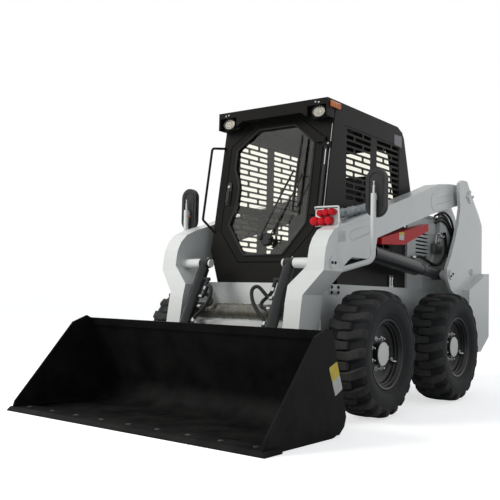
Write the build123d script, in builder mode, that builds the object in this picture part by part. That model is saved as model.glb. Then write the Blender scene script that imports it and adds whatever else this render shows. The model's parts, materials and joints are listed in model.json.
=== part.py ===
"""Skid steer loader with a bucket: wheels, cab, lift arms and hydraulic cylinders as separate pieces.

Millimetres. +Z is up, the machine faces -Y, +X is the operator's left. The origin is on the ground,
midway between the bucket's cutting edge and the rear end. The arms are down and the bucket lies flat.
"""
from math import hypot, radians, tan
import os

from build123d import *

os.makedirs("parts", exist_ok=True)

# Driving dimensions: the whole machine
length = 3630
lip_y = -length / 2
rear_y = length / 2
wheelbase = 1193
front_axle_y = -285
rear_axle_y = front_axle_y + wheelbase
roof_top = 2112

# Wheels: 12-16.5 skid steer tyres on eight-bolt rims
tyre_radius = 410
tyre_width = 280
tyre_mid_x = 755
axle_z = tyre_radius
bead_radius = 214
bead_half = 108
flange_radius = 228
tyre_sides = 40
lug_count = 20
lug_base = 380

# Chassis
body_half = 490
wall = 20
belly_z = 215
deck_z = 853
chassis_front_y = -508
chassis_rear_y = 1790

# Cab
cab_half = 468
cab_wall = 40
cab_floor_z = deck_z
cab_top_z = 2072
cab_back_y = 800
door_lean = 0.164
door_plane_y = -420
door_plane_z = 1371
door_gap = 6
door_thick = 36
door_hinge_x = 412

# Lift arms: a box section that steps inboard to the front legs
arm_inner, arm_outer = 548, 670
leg_inner, leg_outer = 426, 547
pivot = (1500, 1643)
tool_pivot = (-900, 185)
arm_slope = (1604 - 1231) / (724 + 546)
tilt_top = (-662, 980)
tilt_foot = (-945, 400)
lift_eye = (-140, 1088)
lift_base = (1107, 968)
tilt_x = 355
lift_x = 610
pin_clearance = 0.1
pipe_x = 800
pipe_radius = 18
mirror_heights = {"left": 1450, "right": 1418}

# Hinges: the axis lies just in front of the surface it serves
knuckle_radius = 9
hinge_pin_radius = 5
door_hinge_z = (1311, 1819)
rear_hinge = (448, 1806)
rear_hinge_z = (680, 1290)
hood_hinge = (970, 1478)
hood_hinge_x = (-300, 300)

# Hoses of the tilt cylinders
hose_radius = 12

# Towers behind the rear wheels
tower_inner = 490
tower_outer = 725
tower_plate = 20
outer_plate = 25
side_box_x = 790
tie_hole_x = 752

# Bucket
bucket_half = 966
edge_half = 992
bucket_plate = 12

SIDES = (("left", 1), ("right", -1))
AXLES = (("front", front_axle_y), ("rear", rear_axle_y))


def side_view(points, x, rounding=0):
    """A closed outline of (y, z) points, seen from the side and standing at x."""
    with BuildSketch(Plane.YZ.offset(x)) as sketch:
        with BuildLine():
            Polyline(*points, close=True)
        make_face()
        if rounding:
            fillet(sketch.vertices(), rounding)
    return sketch.sketch


def front_view(points, y):
    """A closed outline of (x, z) points, seen from the front and standing at y."""
    plane = Plane(origin=(0, y, 0), x_dir=(1, 0, 0), z_dir=(0, -1, 0))
    with BuildSketch(plane) as sketch:
        with BuildLine():
            Polyline(*points, close=True)
        make_face()
    return sketch.sketch


def block(x_range, y_range, z_range, mode=Mode.ADD):
    """A straight block between two corners."""
    spans = (x_range, y_range, z_range)
    middle = tuple(sum(span) / 2 for span in spans)
    with Locations(middle):
        Box(*(abs(span[1] - span[0]) for span in spans), mode=mode)


def cross_pin(x_range, centre, radius, mode=Mode.ADD):
    """A round bar along X, its centre given in the side view."""
    with Locations(Location((sum(x_range) / 2, centre[0], centre[1]), (0, 90, 0))):
        Cylinder(radius, abs(x_range[1] - x_range[0]), mode=mode)


def finish(part, name):
    """Label a piece and write it."""
    part.label = name
    export_step(part, f"parts/{name}.step")


# Wheels. A tyre's carcass has flat sides like its lugs, which stand in two staggered rows of chevrons
tyre_half = tyre_width / 2
tyre_sections = ((-bead_half, flange_radius + 1), (-tyre_half, 305), (-118, lug_base), (118, lug_base),
                 (tyre_half, 305), (bead_half, flange_radius + 1))
lug_plan = [(-36, -24), (40, -24), (tyre_half + 2, -62), (tyre_half + 2, -4), (40, 30), (-36, 24)]
lug_profile = [(-36, 345), (-36, 404), (0, tyre_radius), (78, 407), (126, 390), (tyre_half, 345)]
along_axle = Plane(origin=(0, 0, 0), x_dir=(0, 0, -1), z_dir=(1, 0, 0))
with BuildPart() as lug:
    with BuildSketch(Plane.XY.offset(345)):
        with BuildLine():
            Polyline(*lug_plan, close=True)
        make_face()
    extrude(amount=70)
    with BuildSketch(Plane.XZ.offset(-100)):
        with BuildLine():
            Polyline(*lug_profile, close=True)
        make_face()
    extrude(amount=200, mode=Mode.INTERSECT)
far_lug = mirror(lug.part, about=Plane.YZ)

with BuildPart() as tyre_form:
    for x, radius in tyre_sections:
        with BuildSketch(along_axle.offset(x)):
            RegularPolygon(radius, tyre_sides, rotation=180 / tyre_sides)
    loft(ruled=True)
    for turn in range(lug_count):
        with Locations(Location((0, 0, 0), (180 + turn * 360 / lug_count, 0, 0))):
            add(lug.part)
        with Locations(Location((0, 0, 0), (180 + (turn + 0.5) * 360 / lug_count, 0, 0))):
            add(far_lug)
    with BuildSketch(along_axle.offset(-tyre_width)):
        Circle(bead_radius)
    extrude(amount=2 * tyre_width, mode=Mode.SUBTRACT)

disc_x = 800 - tyre_mid_x
with BuildPart() as rim_form:
    with BuildSketch(Plane.XY):
        with BuildLine():
            Polyline((-bead_half - 8, 200), (-bead_half - 8, flange_radius), (-bead_half, flange_radius),
                     (-bead_half, bead_radius), (bead_half, bead_radius),
                     (bead_half, flange_radius), (bead_half + 8, flange_radius), (bead_half + 8, 200),
                     (disc_x + 12, 200), (disc_x + 12, 68), (disc_x + 45, 64), (disc_x + 50, 0),
                     (disc_x - 55, 0), (disc_x - 55, 72), (disc_x - 16, 72), (disc_x - 16, 118),
                     (disc_x, 118), (disc_x, 200), close=True)
        make_face()
    revolve(axis=Axis.X)

for axle_name, axle_y in AXLES:
    for side_name, side in SIDES:
        with BuildPart() as tyre:
            with Locations((side * tyre_mid_x, axle_y, axle_z)):
                add(tyre_form.part)
        finish(tyre.part, f"tyre_{axle_name}_{side_name}")
        with BuildPart() as rim:
            with Locations(Location((side * tyre_mid_x, axle_y, axle_z), (0, 0, 0 if side > 0 else 180))):
                add(rim_form.part)
        finish(rim.part, f"rim_{axle_name}_{side_name}")

with BuildPart() as axle_housings:
    for axle_name, axle_y in AXLES:
        cross_pin((body_half, 738), (axle_y, axle_z), 62)
        cross_pin((body_half, body_half + 18), (axle_y, axle_z), 100)
    mirror(about=Plane.YZ)
finish(axle_housings.part, "axle_housings")

# Chassis: an open-topped tub between the wheels
tub = [(chassis_front_y, deck_z), (chassis_front_y, 785), (-470, 300), (-380, belly_z), (1500, belly_z),
       (chassis_rear_y, 380), (chassis_rear_y, 520), (chassis_rear_y, deck_z)]
tub_inside = [(chassis_front_y + wall, deck_z + 10), (chassis_front_y + wall, 785), (-450, 310),
              (-370, belly_z + wall), (1490, belly_z + wall), (chassis_rear_y - wall, 390),
              (chassis_rear_y - wall, deck_z + 10)]
with BuildPart() as chassis_tub:
    extrude(side_view(tub, -body_half), amount=2 * body_half)
    extrude(side_view(tub_inside, -body_half + wall), amount=2 * (body_half - wall), mode=Mode.SUBTRACT)
    block((-450, 450), (chassis_rear_y - 30, chassis_rear_y + 10), (520, deck_z + 10), mode=Mode.SUBTRACT)
    block((-body_half + wall, body_half - wall), (chassis_front_y + wall, 800), (deck_z - wall, deck_z))
finish(chassis_tub.part, "chassis_tub")

# Engine bay: white side panels with cooling slots, joined by a strip behind the cab
bay_top = 1470
with BuildPart() as engine_bay:
    block((body_half - wall, body_half), (810, 1770), (deck_z, bay_top - 30))
    for row in range(8):
        block((body_half - 30, body_half + 10), (965, 1210), (1110 + 31 * row, 1124 + 31 * row),
              mode=Mode.SUBTRACT)
    mirror(about=Plane.YZ)
    block((-body_half, body_half), (810, 965), (bay_top - 30, bay_top))
finish(engine_bay.part, "engine_bay")

with BuildPart() as engine_block:
    block((-260, 260), (950, 1480), (belly_z + wall, 1050))
finish(engine_block.part, "engine_block")

# Towers: outer plate, inner plate, rear web and side box, with the boom pivot and the lift cylinder's pin
outer_outline = [(1121, 848), (1050, 935), (1037, 1015), (1115, 1117), (1207, 1265), (1272, 1396), (1312, 1530),
                 (1285, 1651), (1294, 1735), (1350, 1765), (1458, 1770), (1590, 1638), (1740, 1506),
                 (rear_y, 1420), (rear_y, 460), (1620, 340), (1352, 340), (1345, 640), (1250, 800)]
inner_outline = [(1037, 853), (1037, 1000), (1107, 1030), (1260, 1080), (1400, 1330), (1420, 1650),
                 (1430, 1720), (1540, 1720), (1590, 1638), (1740, 1506), (rear_y, 1420), (rear_y, 460),
                 (1620, 340), (1352, 340), (1345, 853)]
box_outline = [(1352, 853), (1770, 1000), (rear_y, 1003), (rear_y, 460), (1620, 340), (1352, 340)]
for side_name, side in SIDES:
    with BuildPart() as tower:
        extrude(side_view(outer_outline, tower_outer - outer_plate), amount=outer_plate)
        extrude(side_view(inner_outline, tower_inner), amount=tower_plate)
        block((tower_inner, tower_outer), (rear_y - 20, rear_y), (460, 1300))
        extrude(side_view(box_outline, tower_outer), amount=side_box_x - tower_outer)
        extrude(side_view([(1372, 480), (1372, 840), (1770, 980), (rear_y - 20, 983), (rear_y - 20, 480)],
                          tower_outer - 1), amount=side_box_x - tower_outer - 11, mode=Mode.SUBTRACT)
        cross_pin((tower_inner, tower_outer + 12), pivot, 32)
        cross_pin((tower_inner + tower_plate, lift_x - 45), lift_base, 38)
        cross_pin((lift_x + 45, tower_outer - outer_plate), lift_base, 38)
        cross_pin((tower_inner, tower_outer + 12), lift_base, 22)
        cross_pin((tower_outer - 5, tower_outer + 10), (1573, 1006), 30)
        with Locations(Location((tie_hole_x, rear_y - 10, 560), (90, 0, 0))):
            Cylinder(22, 40, mode=Mode.SUBTRACT)
        if side < 0:
            mirror(about=Plane.YZ, mode=Mode.REPLACE)
    finish(tower.part, f"tower_{side_name}")

# Cab
def door_face_y(z):
    """Where the leaning front of the cab stands at a height."""
    return door_plane_y + door_lean * (z - door_plane_z)


lean = hypot(1, door_lean)
front_plane = Plane(origin=(0, door_plane_y, door_plane_z), x_dir=(1, 0, 0),
                    z_dir=(0, -1 / lean, door_lean / lean))


def up_front(z):
    """A height turned into a distance along the leaning front."""
    return (z - door_plane_z) * lean


cab_outline = [(door_face_y(cab_floor_z), cab_floor_z), (cab_back_y, cab_floor_z), (cab_back_y, 1480),
               (955, 1480), (772, 2040), (742, cab_top_z), (door_face_y(cab_top_z), cab_top_z)]
cab_inside = [(door_face_y(cab_floor_z) + cab_wall + 8, cab_floor_z + cab_wall),
              (cab_back_y - cab_wall, cab_floor_z + cab_wall), (cab_back_y - cab_wall, 1520), (895, 1520),
              (725, 2040), (706, cab_top_z + 10), (door_face_y(cab_top_z) + cab_wall, cab_top_z + 10)]
door_outline = [(-205, 1000), (205, 1000), (396, 1225), (396, 1862), (208, 2006), (-208, 2006), (-396, 1862),
                (-396, 1225)]
glass_outline = [(-165, 1046), (165, 1046), (330, 1262), (330, 1830), (158, 1975), (-158, 1975), (-336, 1830),
                 (-336, 1690), (-302, 1620), (-280, 1545), (-280, 1440), (-300, 1355), (-332, 1270)]
glass_corner = 24


def on_front(points, depth, grow=0, rounding=0):
    """An outline of (x, z) points on the leaning front, that far behind its face."""
    with BuildSketch(front_plane.offset(-depth)) as sketch:
        with BuildLine():
            Polyline(*((x, up_front(z)) for x, z in points), close=True)
        make_face()
        if grow:
            offset(amount=grow, kind=Kind.INTERSECTION)
        if rounding:
            fillet(sketch.vertices(), rounding)
    return sketch.sketch


window_ranges = [((-190, 690), (1440, 1965)), ((-240, 580), (1095, 1400))]
with BuildPart() as cab_shell:
    extrude(side_view(cab_outline, -cab_half), amount=2 * cab_half)
    extrude(side_view(cab_inside, -cab_half + cab_wall), amount=2 * (cab_half - cab_wall), mode=Mode.SUBTRACT)
    extrude(on_front(door_outline, -5, grow=door_gap), amount=-90, mode=Mode.SUBTRACT)
    for window_y, window_z in window_ranges:
        block((-cab_half - 5, cab_half + 5), window_y, window_z, mode=Mode.SUBTRACT)
    for side in (1, -1):
        corner = [(side * 370, cab_floor_z), (side * (cab_half + 10), 1105), (side * (cab_half + 10), cab_floor_z)]
        extrude(front_view(corner, -250), amount=300, mode=Mode.SUBTRACT)
    rear_plane = Plane(origin=(0, 860, 1771), x_dir=(-1, 0, 0), z_dir=(0, 0.9506, 0.3106))
    with BuildSketch(rear_plane.offset(5)):
        RectangleRounded(660, 420, 40)
    extrude(amount=-90, mode=Mode.SUBTRACT)
finish(cab_shell.part, "cab_shell")

with BuildPart() as rear_window:
    with BuildSketch(rear_plane.offset(-12)):
        RectangleRounded(660, 420, 40)
    extrude(amount=-6)
finish(rear_window.part, "rear_window")

guard_pitch = 42.7
guard_slot = 28
guard_slots = []
for row in range(12):
    z = 1466 + guard_pitch * row
    for start in (-145, 312):
        first = (start, start + 235) if row % 2 else (start, start + 105)
        guard_slots.append((first, z))
        guard_slots.append(((first[1] + 20, start + 365), z))
for row in range(7):
    z = 1116 + guard_pitch * row
    for start in (-220, 230):
        split = 200 if row % 2 else 95
        guard_slots.append(((start, start + split), z))
        guard_slots.append(((start + split + 20, start + 320), z))
with BuildPart() as side_guards:
    for window_y, window_z in window_ranges:
        block((cab_half - 8, cab_half - 3), window_y, window_z)
    with BuildSketch(Plane.YZ.offset(cab_half - 12)) as slots:
        for (y_low, y_high), z in guard_slots:
            with Locations(((y_low + y_high) / 2, z)):
                Rectangle(y_high - y_low, guard_slot)
        chamfer(slots.vertices(), 8)
    extrude(amount=20, mode=Mode.SUBTRACT)
    mirror(about=Plane.YZ)
finish(side_guards.part, "side_guards")

# Cab door hinges: the lower knuckle and its pin stay on the cab, the upper knuckle turns with the door
hinge_out = 14
hinge_gap = 0.06


def door_hinge_plane(z):
    """A plane across the door's hinge axis at a height, its normal along the axis."""
    return Plane(origin=front_plane.from_local_coords((door_hinge_x, up_front(z), hinge_out)), x_dir=(1, 0, 0),
                 z_dir=(0, door_lean / lean, 1 / lean))


with BuildPart() as cab_door:
    extrude(on_front(door_outline, 0), amount=-door_thick)
    extrude(on_front(glass_outline, -5, rounding=glass_corner), amount=-60, mode=Mode.SUBTRACT)
    for z in door_hinge_z:
        with BuildSketch(door_hinge_plane(z + 2)):
            Circle(knuckle_radius)
        extrude(amount=40)
        with BuildSketch(door_hinge_plane(z + 2)):
            with Locations((-30, 0)):
                Rectangle(60, 8)
        extrude(amount=40)
        with BuildSketch(door_hinge_plane(z + 2)):
            with Locations((-41, hinge_out / 2)):
                Rectangle(38, hinge_out)
        extrude(amount=40)
        with BuildSketch(door_hinge_plane(z + 1)):
            Circle(hinge_pin_radius + hinge_gap)
        extrude(amount=42, mode=Mode.SUBTRACT)
finish(cab_door.part, "cab_door")

with BuildPart() as hinges:
    for z in door_hinge_z:
        with BuildSketch(door_hinge_plane(z)):
            Circle(knuckle_radius)
        extrude(amount=-40)
        with BuildSketch(door_hinge_plane(z)):
            with Locations((28, hinge_out / 2)):
                Rectangle(44, hinge_out)
        extrude(amount=-40)
        with BuildSketch(door_hinge_plane(z)):
            with Locations((15, 0)):
                Rectangle(30, 8)
        extrude(amount=-40)
        with BuildSketch(door_hinge_plane(z - 20)):
            Circle(hinge_pin_radius)
        extrude(amount=58)
    for z in rear_hinge_z:
        with Locations((rear_hinge[0], rear_hinge[1], z)):
            Cylinder(knuckle_radius - 2, 40, align=(Align.CENTER, Align.CENTER, Align.MAX))
            Cylinder(hinge_pin_radius - 1, 50, align=(Align.CENTER, Align.CENTER, Align.CENTER))
        block((rear_hinge[0], tower_inner), (rear_hinge[1] - 5, rear_hinge[1] + 5), (z - 40, z))
    for x in hood_hinge_x:
        cross_pin((x - 30, x), hood_hinge, knuckle_radius - 2)
        cross_pin((x - 20, x + 26), hood_hinge, hinge_pin_radius - 1)
        block((x - 30, x), (925, hood_hinge[0]), (bay_top, bay_top + 7))
finish(hinges.part, "hinges")

with BuildPart() as cab_door_glass:
    extrude(on_front(glass_outline, 12, rounding=glass_corner), amount=-6)
finish(cab_door_glass.part, "cab_door_glass")

visor = [(-cab_half, roof_top), (cab_half, roof_top), (cab_half, 1985), (330, 1985), (250, 2032), (-250, 2032),
         (-330, 1985), (-cab_half, 1985)]
visor_y = (-415, -325)
roof_side = [(visor_y[0], cab_top_z), (745, cab_top_z), (745, 2078), (655, roof_top), (visor_y[0], roof_top)]
lamp_back = -371
with BuildPart() as cab_roof:
    extrude(side_view(roof_side, -cab_half), amount=2 * cab_half)
    extrude(front_view(visor, visor_y[1]), amount=visor_y[1] - visor_y[0])
    for x_range in ((-456, -305), (305, 456)):
        block(x_range, (visor_y[0] - 5, lamp_back), (1980, 2070), mode=Mode.SUBTRACT)
finish(cab_roof.part, "cab_roof")

with BuildPart() as work_lamps:
    for x in (-385, 385):
        with BuildSketch(Plane(origin=(x, lamp_back, 2030), x_dir=(1, 0, 0), z_dir=(0, -1, 0))):
            Ellipse(46, 34)
        extrude(amount=14)
finish(work_lamps.part, "work_lamps")

with BuildPart() as amber_lamps:
    block((cab_half, cab_half + 18), (-389, -263), (2053, 2096))
    mirror(about=Plane.YZ)
finish(amber_lamps.part, "amber_lamps")

with BuildPart() as seat:
    block((-230, 230), (180, 640), (cab_floor_z + cab_wall, 1150))
    block((-240, 240), (150, 640), (1150, 1260))
    block((-230, 230), (540, 650), (1260, 1750))
finish(seat.part, "seat")

with BuildPart() as control_levers:
    for x in (-300, 300):
        block((x - 45, x + 45), (80, 480), (cab_floor_z + cab_wall, 1180))
        with Locations((x, 130, 1270)):
            Cylinder(14, 180)
finish(control_levers.part, "control_levers")

with BuildPart() as grab_rail:
    with BuildLine() as rail_line:
        FilletPolyline((-455, -337, 1862), (-505, -440, 1852), (-505, -528, 1308), (-455, -445, 1219), radius=22)
    with BuildSketch(Plane(origin=rail_line.line @ 0, z_dir=rail_line.line % 0)):
        Circle(9)
    sweep()
    add(cab_shell.part, mode=Mode.SUBTRACT)
finish(grab_rail.part, "grab_rail")

# Doors over the engine
with BuildPart() as rear_door:
    block((-442, 442), (1768, 1800), (528, 1432))
    for row in range(10):
        block((-340, 340), (1760, 1810), (760 + 55 * row, 785 + 55 * row), mode=Mode.SUBTRACT)
    for z in rear_hinge_z:
        block((400, rear_hinge[0]), (1800, rear_hinge[1] + 3), (z + 1, z + 40))
        with Locations((rear_hinge[0], rear_hinge[1], z + 1)):
            Cylinder(knuckle_radius - 2, 39, align=(Align.CENTER, Align.CENTER, Align.MIN))
            Cylinder(hinge_pin_radius - 1 + hinge_gap, 40, align=(Align.CENTER, Align.CENTER, Align.MIN),
                     mode=Mode.SUBTRACT)
finish(rear_door.part, "rear_door")

with BuildPart() as engine_hood:
    block((-body_half + 8, body_half - 8), (975, 1765), (bay_top - 30 + 6, bay_top))
    for x in hood_hinge_x:
        block((x + 1, x + 30), (hood_hinge[0], 1010), (bay_top, bay_top + 7))
        cross_pin((x + 1, x + 30), hood_hinge, knuckle_radius - 2)
        cross_pin((x - 1, x + 31), hood_hinge, hinge_pin_radius - 1 + hinge_gap, mode=Mode.SUBTRACT)
finish(engine_hood.part, "engine_hood")

# Lift arms: the side view and the front view of one arm, where they meet
arm_side = [(-962, 185), (-935, 330), (-849, 534), (-816, 744), (-767, 929), (-756, 1018), (-743, 1075),
            (-709, 1134), (-652, 1188), (-546, 1231), (724, 1604), (990, 1689), (1212, 1718), (1412, 1735),
            (1500, 1718), (1575, 1643), (1500, 1568), (1405, 1562), (850, 1432), (-60, 1180), (-88, 1088),
            (-100, 1045), (-140, 1030), (-326, 1027), (-413, 1026), (-467, 1000), (-507, 974), (-536, 919),
            (-569, 789), (-605, 547), (-760, 320), (-838, 185), (-860, 140), (-900, 123), (-942, 140)]
arm_front = [(arm_inner, 1800), (arm_outer, 1800), (arm_outer, 930), (leg_outer, 775), (leg_outer, 100),
             (leg_inner, 100), (leg_inner, 833), (arm_inner, 960)]
pressings = ([(-440, 1138), (-440, 1190), (-160, 1246), (-160, 1200)],
             [(937, 1512), (937, 1562), (1278, 1652), (1278, 1598)])
pressing_depth = 4
arms = {}
for side_name, side in SIDES:
    with BuildPart() as boom_arm:
        extrude(side_view(arm_side, leg_inner), amount=arm_outer - leg_inner)
        extrude(front_view(arm_front, 1700), amount=2800, mode=Mode.INTERSECT)
        cross_pin((525, 692), pivot, 62)
        cross_pin((500, 720), pivot, 32 + pin_clearance, mode=Mode.SUBTRACT)
        cross_pin((400, 600), tool_pivot, 25 + pin_clearance, mode=Mode.SUBTRACT)
        block((lift_x - 38, lift_x + 38), (-250, -50), (900, 1160), mode=Mode.SUBTRACT)
        cross_pin((380, arm_inner), tilt_top, 34, mode=Mode.SUBTRACT)
        for pressing in pressings:
            extrude(side_view(pressing, arm_outer - pressing_depth, rounding=10), amount=10, mode=Mode.SUBTRACT)
        cross_pin((arm_outer - 5, arm_outer + 9), tilt_top, 38)
        for offset_y in (-18, 18):
            cross_pin((arm_outer + 3, arm_outer + 12), (tilt_top[0] + offset_y, tilt_top[1]), 6,
                      mode=Mode.SUBTRACT)
        if side < 0:
            mirror(about=Plane.YZ, mode=Mode.REPLACE)
    arms[side_name] = boom_arm.part
    finish(boom_arm.part, f"boom_arm_{side_name}")

with BuildPart() as boom_cross_beam:
    cross_pin((-leg_inner, leg_inner), (-700, 655), 48)
    block((-leg_inner, leg_inner), (-752, -640), (450, 590))
    block((-leg_inner, leg_inner), (-712, -688), (585, 625))
finish(boom_cross_beam.part, "boom_cross_beam")

with BuildPart() as tilt_pin_bosses:
    cross_pin((tilt_x + 37, arm_inner), tilt_top, 34)
    cross_pin((tilt_x - 52, tilt_x + 40), tilt_top, 20)
    cross_pin((tilt_x - 52, tilt_x - 40), tilt_top, 28)
    mirror(about=Plane.YZ)
finish(tilt_pin_bosses.part, "tilt_pin_bosses")

# Mirror pipes rise from behind the legs, outboard of the tyres, with a mirror behind the top of each
pipe_y = -378
with BuildPart() as mirror_pipes:
    for side_name, side in SIDES:
        pipe_top = mirror_heights[side_name] - 9
        with BuildLine() as pipe_line:
            FilletPolyline((side * 612, -565, 922), (side * pipe_x, pipe_y, 1008), (side * pipe_x, pipe_y, pipe_top),
                           radius=55)
        with BuildSketch(Plane(origin=pipe_line.line @ 0, z_dir=pipe_line.line % 0)):
            Circle(pipe_radius)
        sweep()
        with Locations((side * pipe_x, pipe_y, pipe_top)):
            Cylinder(7, 46, align=(Align.CENTER, Align.CENTER, Align.MIN))
        block((side * pipe_x - 12, side * pipe_x + 12), (pipe_y, pipe_y + 26), (pipe_top - 40, pipe_top - 10))
        add(arms[side_name], mode=Mode.SUBTRACT)
finish(mirror_pipes.part, "mirror_pipes")

with BuildPart() as mirrors:
    for side_name, side in SIDES:
        with BuildSketch(Plane(origin=(side * pipe_x, pipe_y + 26, mirror_heights[side_name]), x_dir=(1, 0, 0),
                               z_dir=(0, 1, 0))):
            SlotOverall(320, 143, rotation=90)
        extrude(amount=38)
finish(mirrors.part, "mirrors")

with BuildPart() as coupler_bracket:
    extrude(side_view([(-546, 1231), (-470, 1231 + 76 * arm_slope), (-470, 1270), (-546, 1270)], 560), amount=60)
    block((470, 620), (-546, -536), (1240, 1330))
    for x, z in ((490, 1257), (533, 1257), (576, 1257), (505, 1305), (548, 1305), (591, 1305)):
        with Locations(Location((x, -562, z), (90, 0, 0))):
            Cylinder(17, 46)
finish(coupler_bracket.part, "coupler_bracket")

with BuildPart() as lift_arm_lock:
    lock_outline = [(53, 1146), (414, 1164), (851, 1304), (849, 1359), (53, 1192)]
    extrude(side_view(lock_outline, lift_x - 36), amount=72)
finish(lift_arm_lock.part, "lift_arm_lock")


# Hydraulic cylinders
def pin_to_pin(start, end):
    """The straight distance between two pins."""
    return hypot(end[0] - start[0], end[1] - start[1])


def ram_plane(x, start, end):
    """A plane on a pin, its normal along the cylinder towards the other pin."""
    return Plane(origin=(x, start[0], start[1]), x_dir=(1, 0, 0), z_dir=(0, end[0] - start[0], end[1] - start[1]))


def eye(radius, width, bore=0):
    """A round eye at a cylinder's pin, in the cylinder's own plane."""
    with Locations(Location((0, 0, 0), (0, 90, 0))):
        Cylinder(radius, width)
        if bore:
            Cylinder(bore, width + 10, mode=Mode.SUBTRACT)


# Hose routes beside the left tilt cylinder: inboard of its axis, in front of it and along it from the top pin
port_radius = 13
short_hose = [(71, 0, 186), (71, 0, 218), (108, -16, 243), (147, -24, 271), (143, -22, 308), (97, -12, 327),
              (55, -12, 327)]
long_hose = [(51, 0, 258), (85, 0, 258), (115, 34, 228), (150, 64, 200), (187, 66, 225), (184, 46, 277),
             (156, 26, 328), (112, 12, 376), (60, 0, 416), (60, 0, 450)]
ports = ((0, 125, 71 + port_radius), (-12, 327, 55), (0, 258, 51), (0, 480, 60 + port_radius))
elbows = ((0, 125, 186, 71), (0, 450, 480, 60))


def hose_radii(points):
    """For each corner of a route, 0.45 of its shorter run over the tangent of half its turn."""
    radii = []
    for before, corner, after in zip(points, points[1:], points[2:]):
        inward, outward = Vector(*corner) - Vector(*before), Vector(*after) - Vector(*corner)
        half_turn = radians(inward.get_angle(outward)) / 2
        radii.append(0.45 * min(inward.length, outward.length) / tan(half_turn))
    return radii


lift_length = pin_to_pin(lift_base, lift_eye)
tilt_length = pin_to_pin(tilt_top, tilt_foot)
for side_name, side in SIDES:
    with BuildPart(ram_plane(side * lift_x, lift_base, lift_eye)) as lift_barrel:
        with Locations((0, 0, 46)):
            Cylinder(37, 1142 - 46, align=(Align.CENTER, Align.CENTER, Align.MIN))
        Cylinder(30, 100, align=(Align.CENTER, Align.CENTER, Align.MIN))
        eye(40, 60)
        with Locations((0, 0, 120)):
            Cylinder(30, 992, align=(Align.CENTER, Align.CENTER, Align.MIN), mode=Mode.SUBTRACT)
        with Locations((0, 0, 1100)):
            Cylinder(22.5, 60, align=(Align.CENTER, Align.CENTER, Align.MIN), mode=Mode.SUBTRACT)
        with Locations(Location((0, 0, 0), (0, 90, 0))):
            Cylinder(22 + pin_clearance, 80, mode=Mode.SUBTRACT)
    finish(lift_barrel.part, f"lift_barrel_{side_name}")

    with BuildPart(ram_plane(side * lift_x, lift_eye, lift_base)) as lift_rod:
        eye(42, 56)
        with Locations((0, 0, 30)):
            Cylinder(22, 970, align=(Align.CENTER, Align.CENTER, Align.MIN))
        with Locations((0, 0, 950)):
            Cylinder(29.5, 50, align=(Align.CENTER, Align.CENTER, Align.MIN))
        with Locations((0, 0, 85)):
            Cylinder(59, 745, align=(Align.CENTER, Align.CENTER, Align.MIN))
        with Locations((0, 0, 97)):
            Cylinder(52, 750, align=(Align.CENTER, Align.CENTER, Align.MIN), mode=Mode.SUBTRACT)
        with Locations((0, 0, 90)):
            Cylinder(22, 900, align=(Align.CENTER, Align.CENTER, Align.MIN))
        with Locations((0, 0, 950)):
            Cylinder(29.5, 50, align=(Align.CENTER, Align.CENTER, Align.MIN))
    finish(lift_rod.part, f"lift_rod_{side_name}")

    with BuildPart(ram_plane(side * tilt_x, tilt_top, tilt_foot)) as tilt_barrel:
        with Locations((0, 0, 42)):
            Cylinder(39, 458, align=(Align.CENTER, Align.CENTER, Align.MIN))
        Cylinder(31, 50, align=(Align.CENTER, Align.CENTER, Align.MIN))
        eye(34, 64)
        for front, along, reach in ports:
            with Locations(Location((-side * reach / 2, front, along), (0, 90, 0))):
                Cylinder(port_radius, reach)
        for front, start, stop, reach in elbows:
            with Locations(Location((-side * reach, front, start))):
                Cylinder(port_radius, stop - start, align=(Align.CENTER, Align.CENTER, Align.MIN))
        with Locations((0, 0, 55)):
            Cylinder(31, 420, align=(Align.CENTER, Align.CENTER, Align.MIN), mode=Mode.SUBTRACT)
        with Locations((0, 0, 460)):
            Cylinder(20.5, 60, align=(Align.CENTER, Align.CENTER, Align.MIN), mode=Mode.SUBTRACT)
        with Locations(Location((0, 0, 0), (0, 90, 0))):
            Cylinder(20 + pin_clearance, 90, mode=Mode.SUBTRACT)
    finish(tilt_barrel.part, f"tilt_barrel_{side_name}")

    with BuildPart(ram_plane(side * tilt_x, tilt_foot, tilt_top)) as tilt_rod:
        eye(36, 60)
        with Locations((0, 0, 25)):
            Cylinder(20, tilt_length - 130 - 25, align=(Align.CENTER, Align.CENTER, Align.MIN))
        with Locations((0, 0, tilt_length - 130 - 45)):
            Cylinder(30.5, 45, align=(Align.CENTER, Align.CENTER, Align.MIN))
    finish(tilt_rod.part, f"tilt_rod_{side_name}")

    ram = ram_plane(side * tilt_x, tilt_top, tilt_foot)
    for hose_name, route in (("short", short_hose), ("long", long_hose)):
        points = [ram.from_local_coords((-side * inboard, front, along)) for inboard, front, along in route]
        radii = hose_radii([tuple(point) for point in points])
        print(f"tilt hose {hose_name} {side_name}, radii:", [round(radius) for radius in radii])
        with BuildPart() as tilt_hose:
            with BuildLine() as hose_line:
                FilletPolyline(*points, radius=radii)
            with BuildSketch(Plane(origin=hose_line.line @ 0, z_dir=hose_line.line % 0)):
                Circle(hose_radius)
            sweep()
        finish(tilt_hose.part, f"tilt_hose_{hose_name}_{side_name}")

# Bucket and its quick-attach plate
back_low, back_high = (-988, 95), (-1148, 560)
back_length = pin_to_pin(back_low, back_high)
back_up = ((back_high[0] - back_low[0]) / back_length, (back_high[1] - back_low[1]) / back_length)
back_out = (back_up[1], -back_up[0])


def behind_back(along, out):
    """A side-view point, so far up the bucket's back and so far behind it."""
    return (back_low[0] + along * back_up[0] + out * back_out[0], back_low[1] + along * back_up[1] + out * back_out[1])


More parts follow.
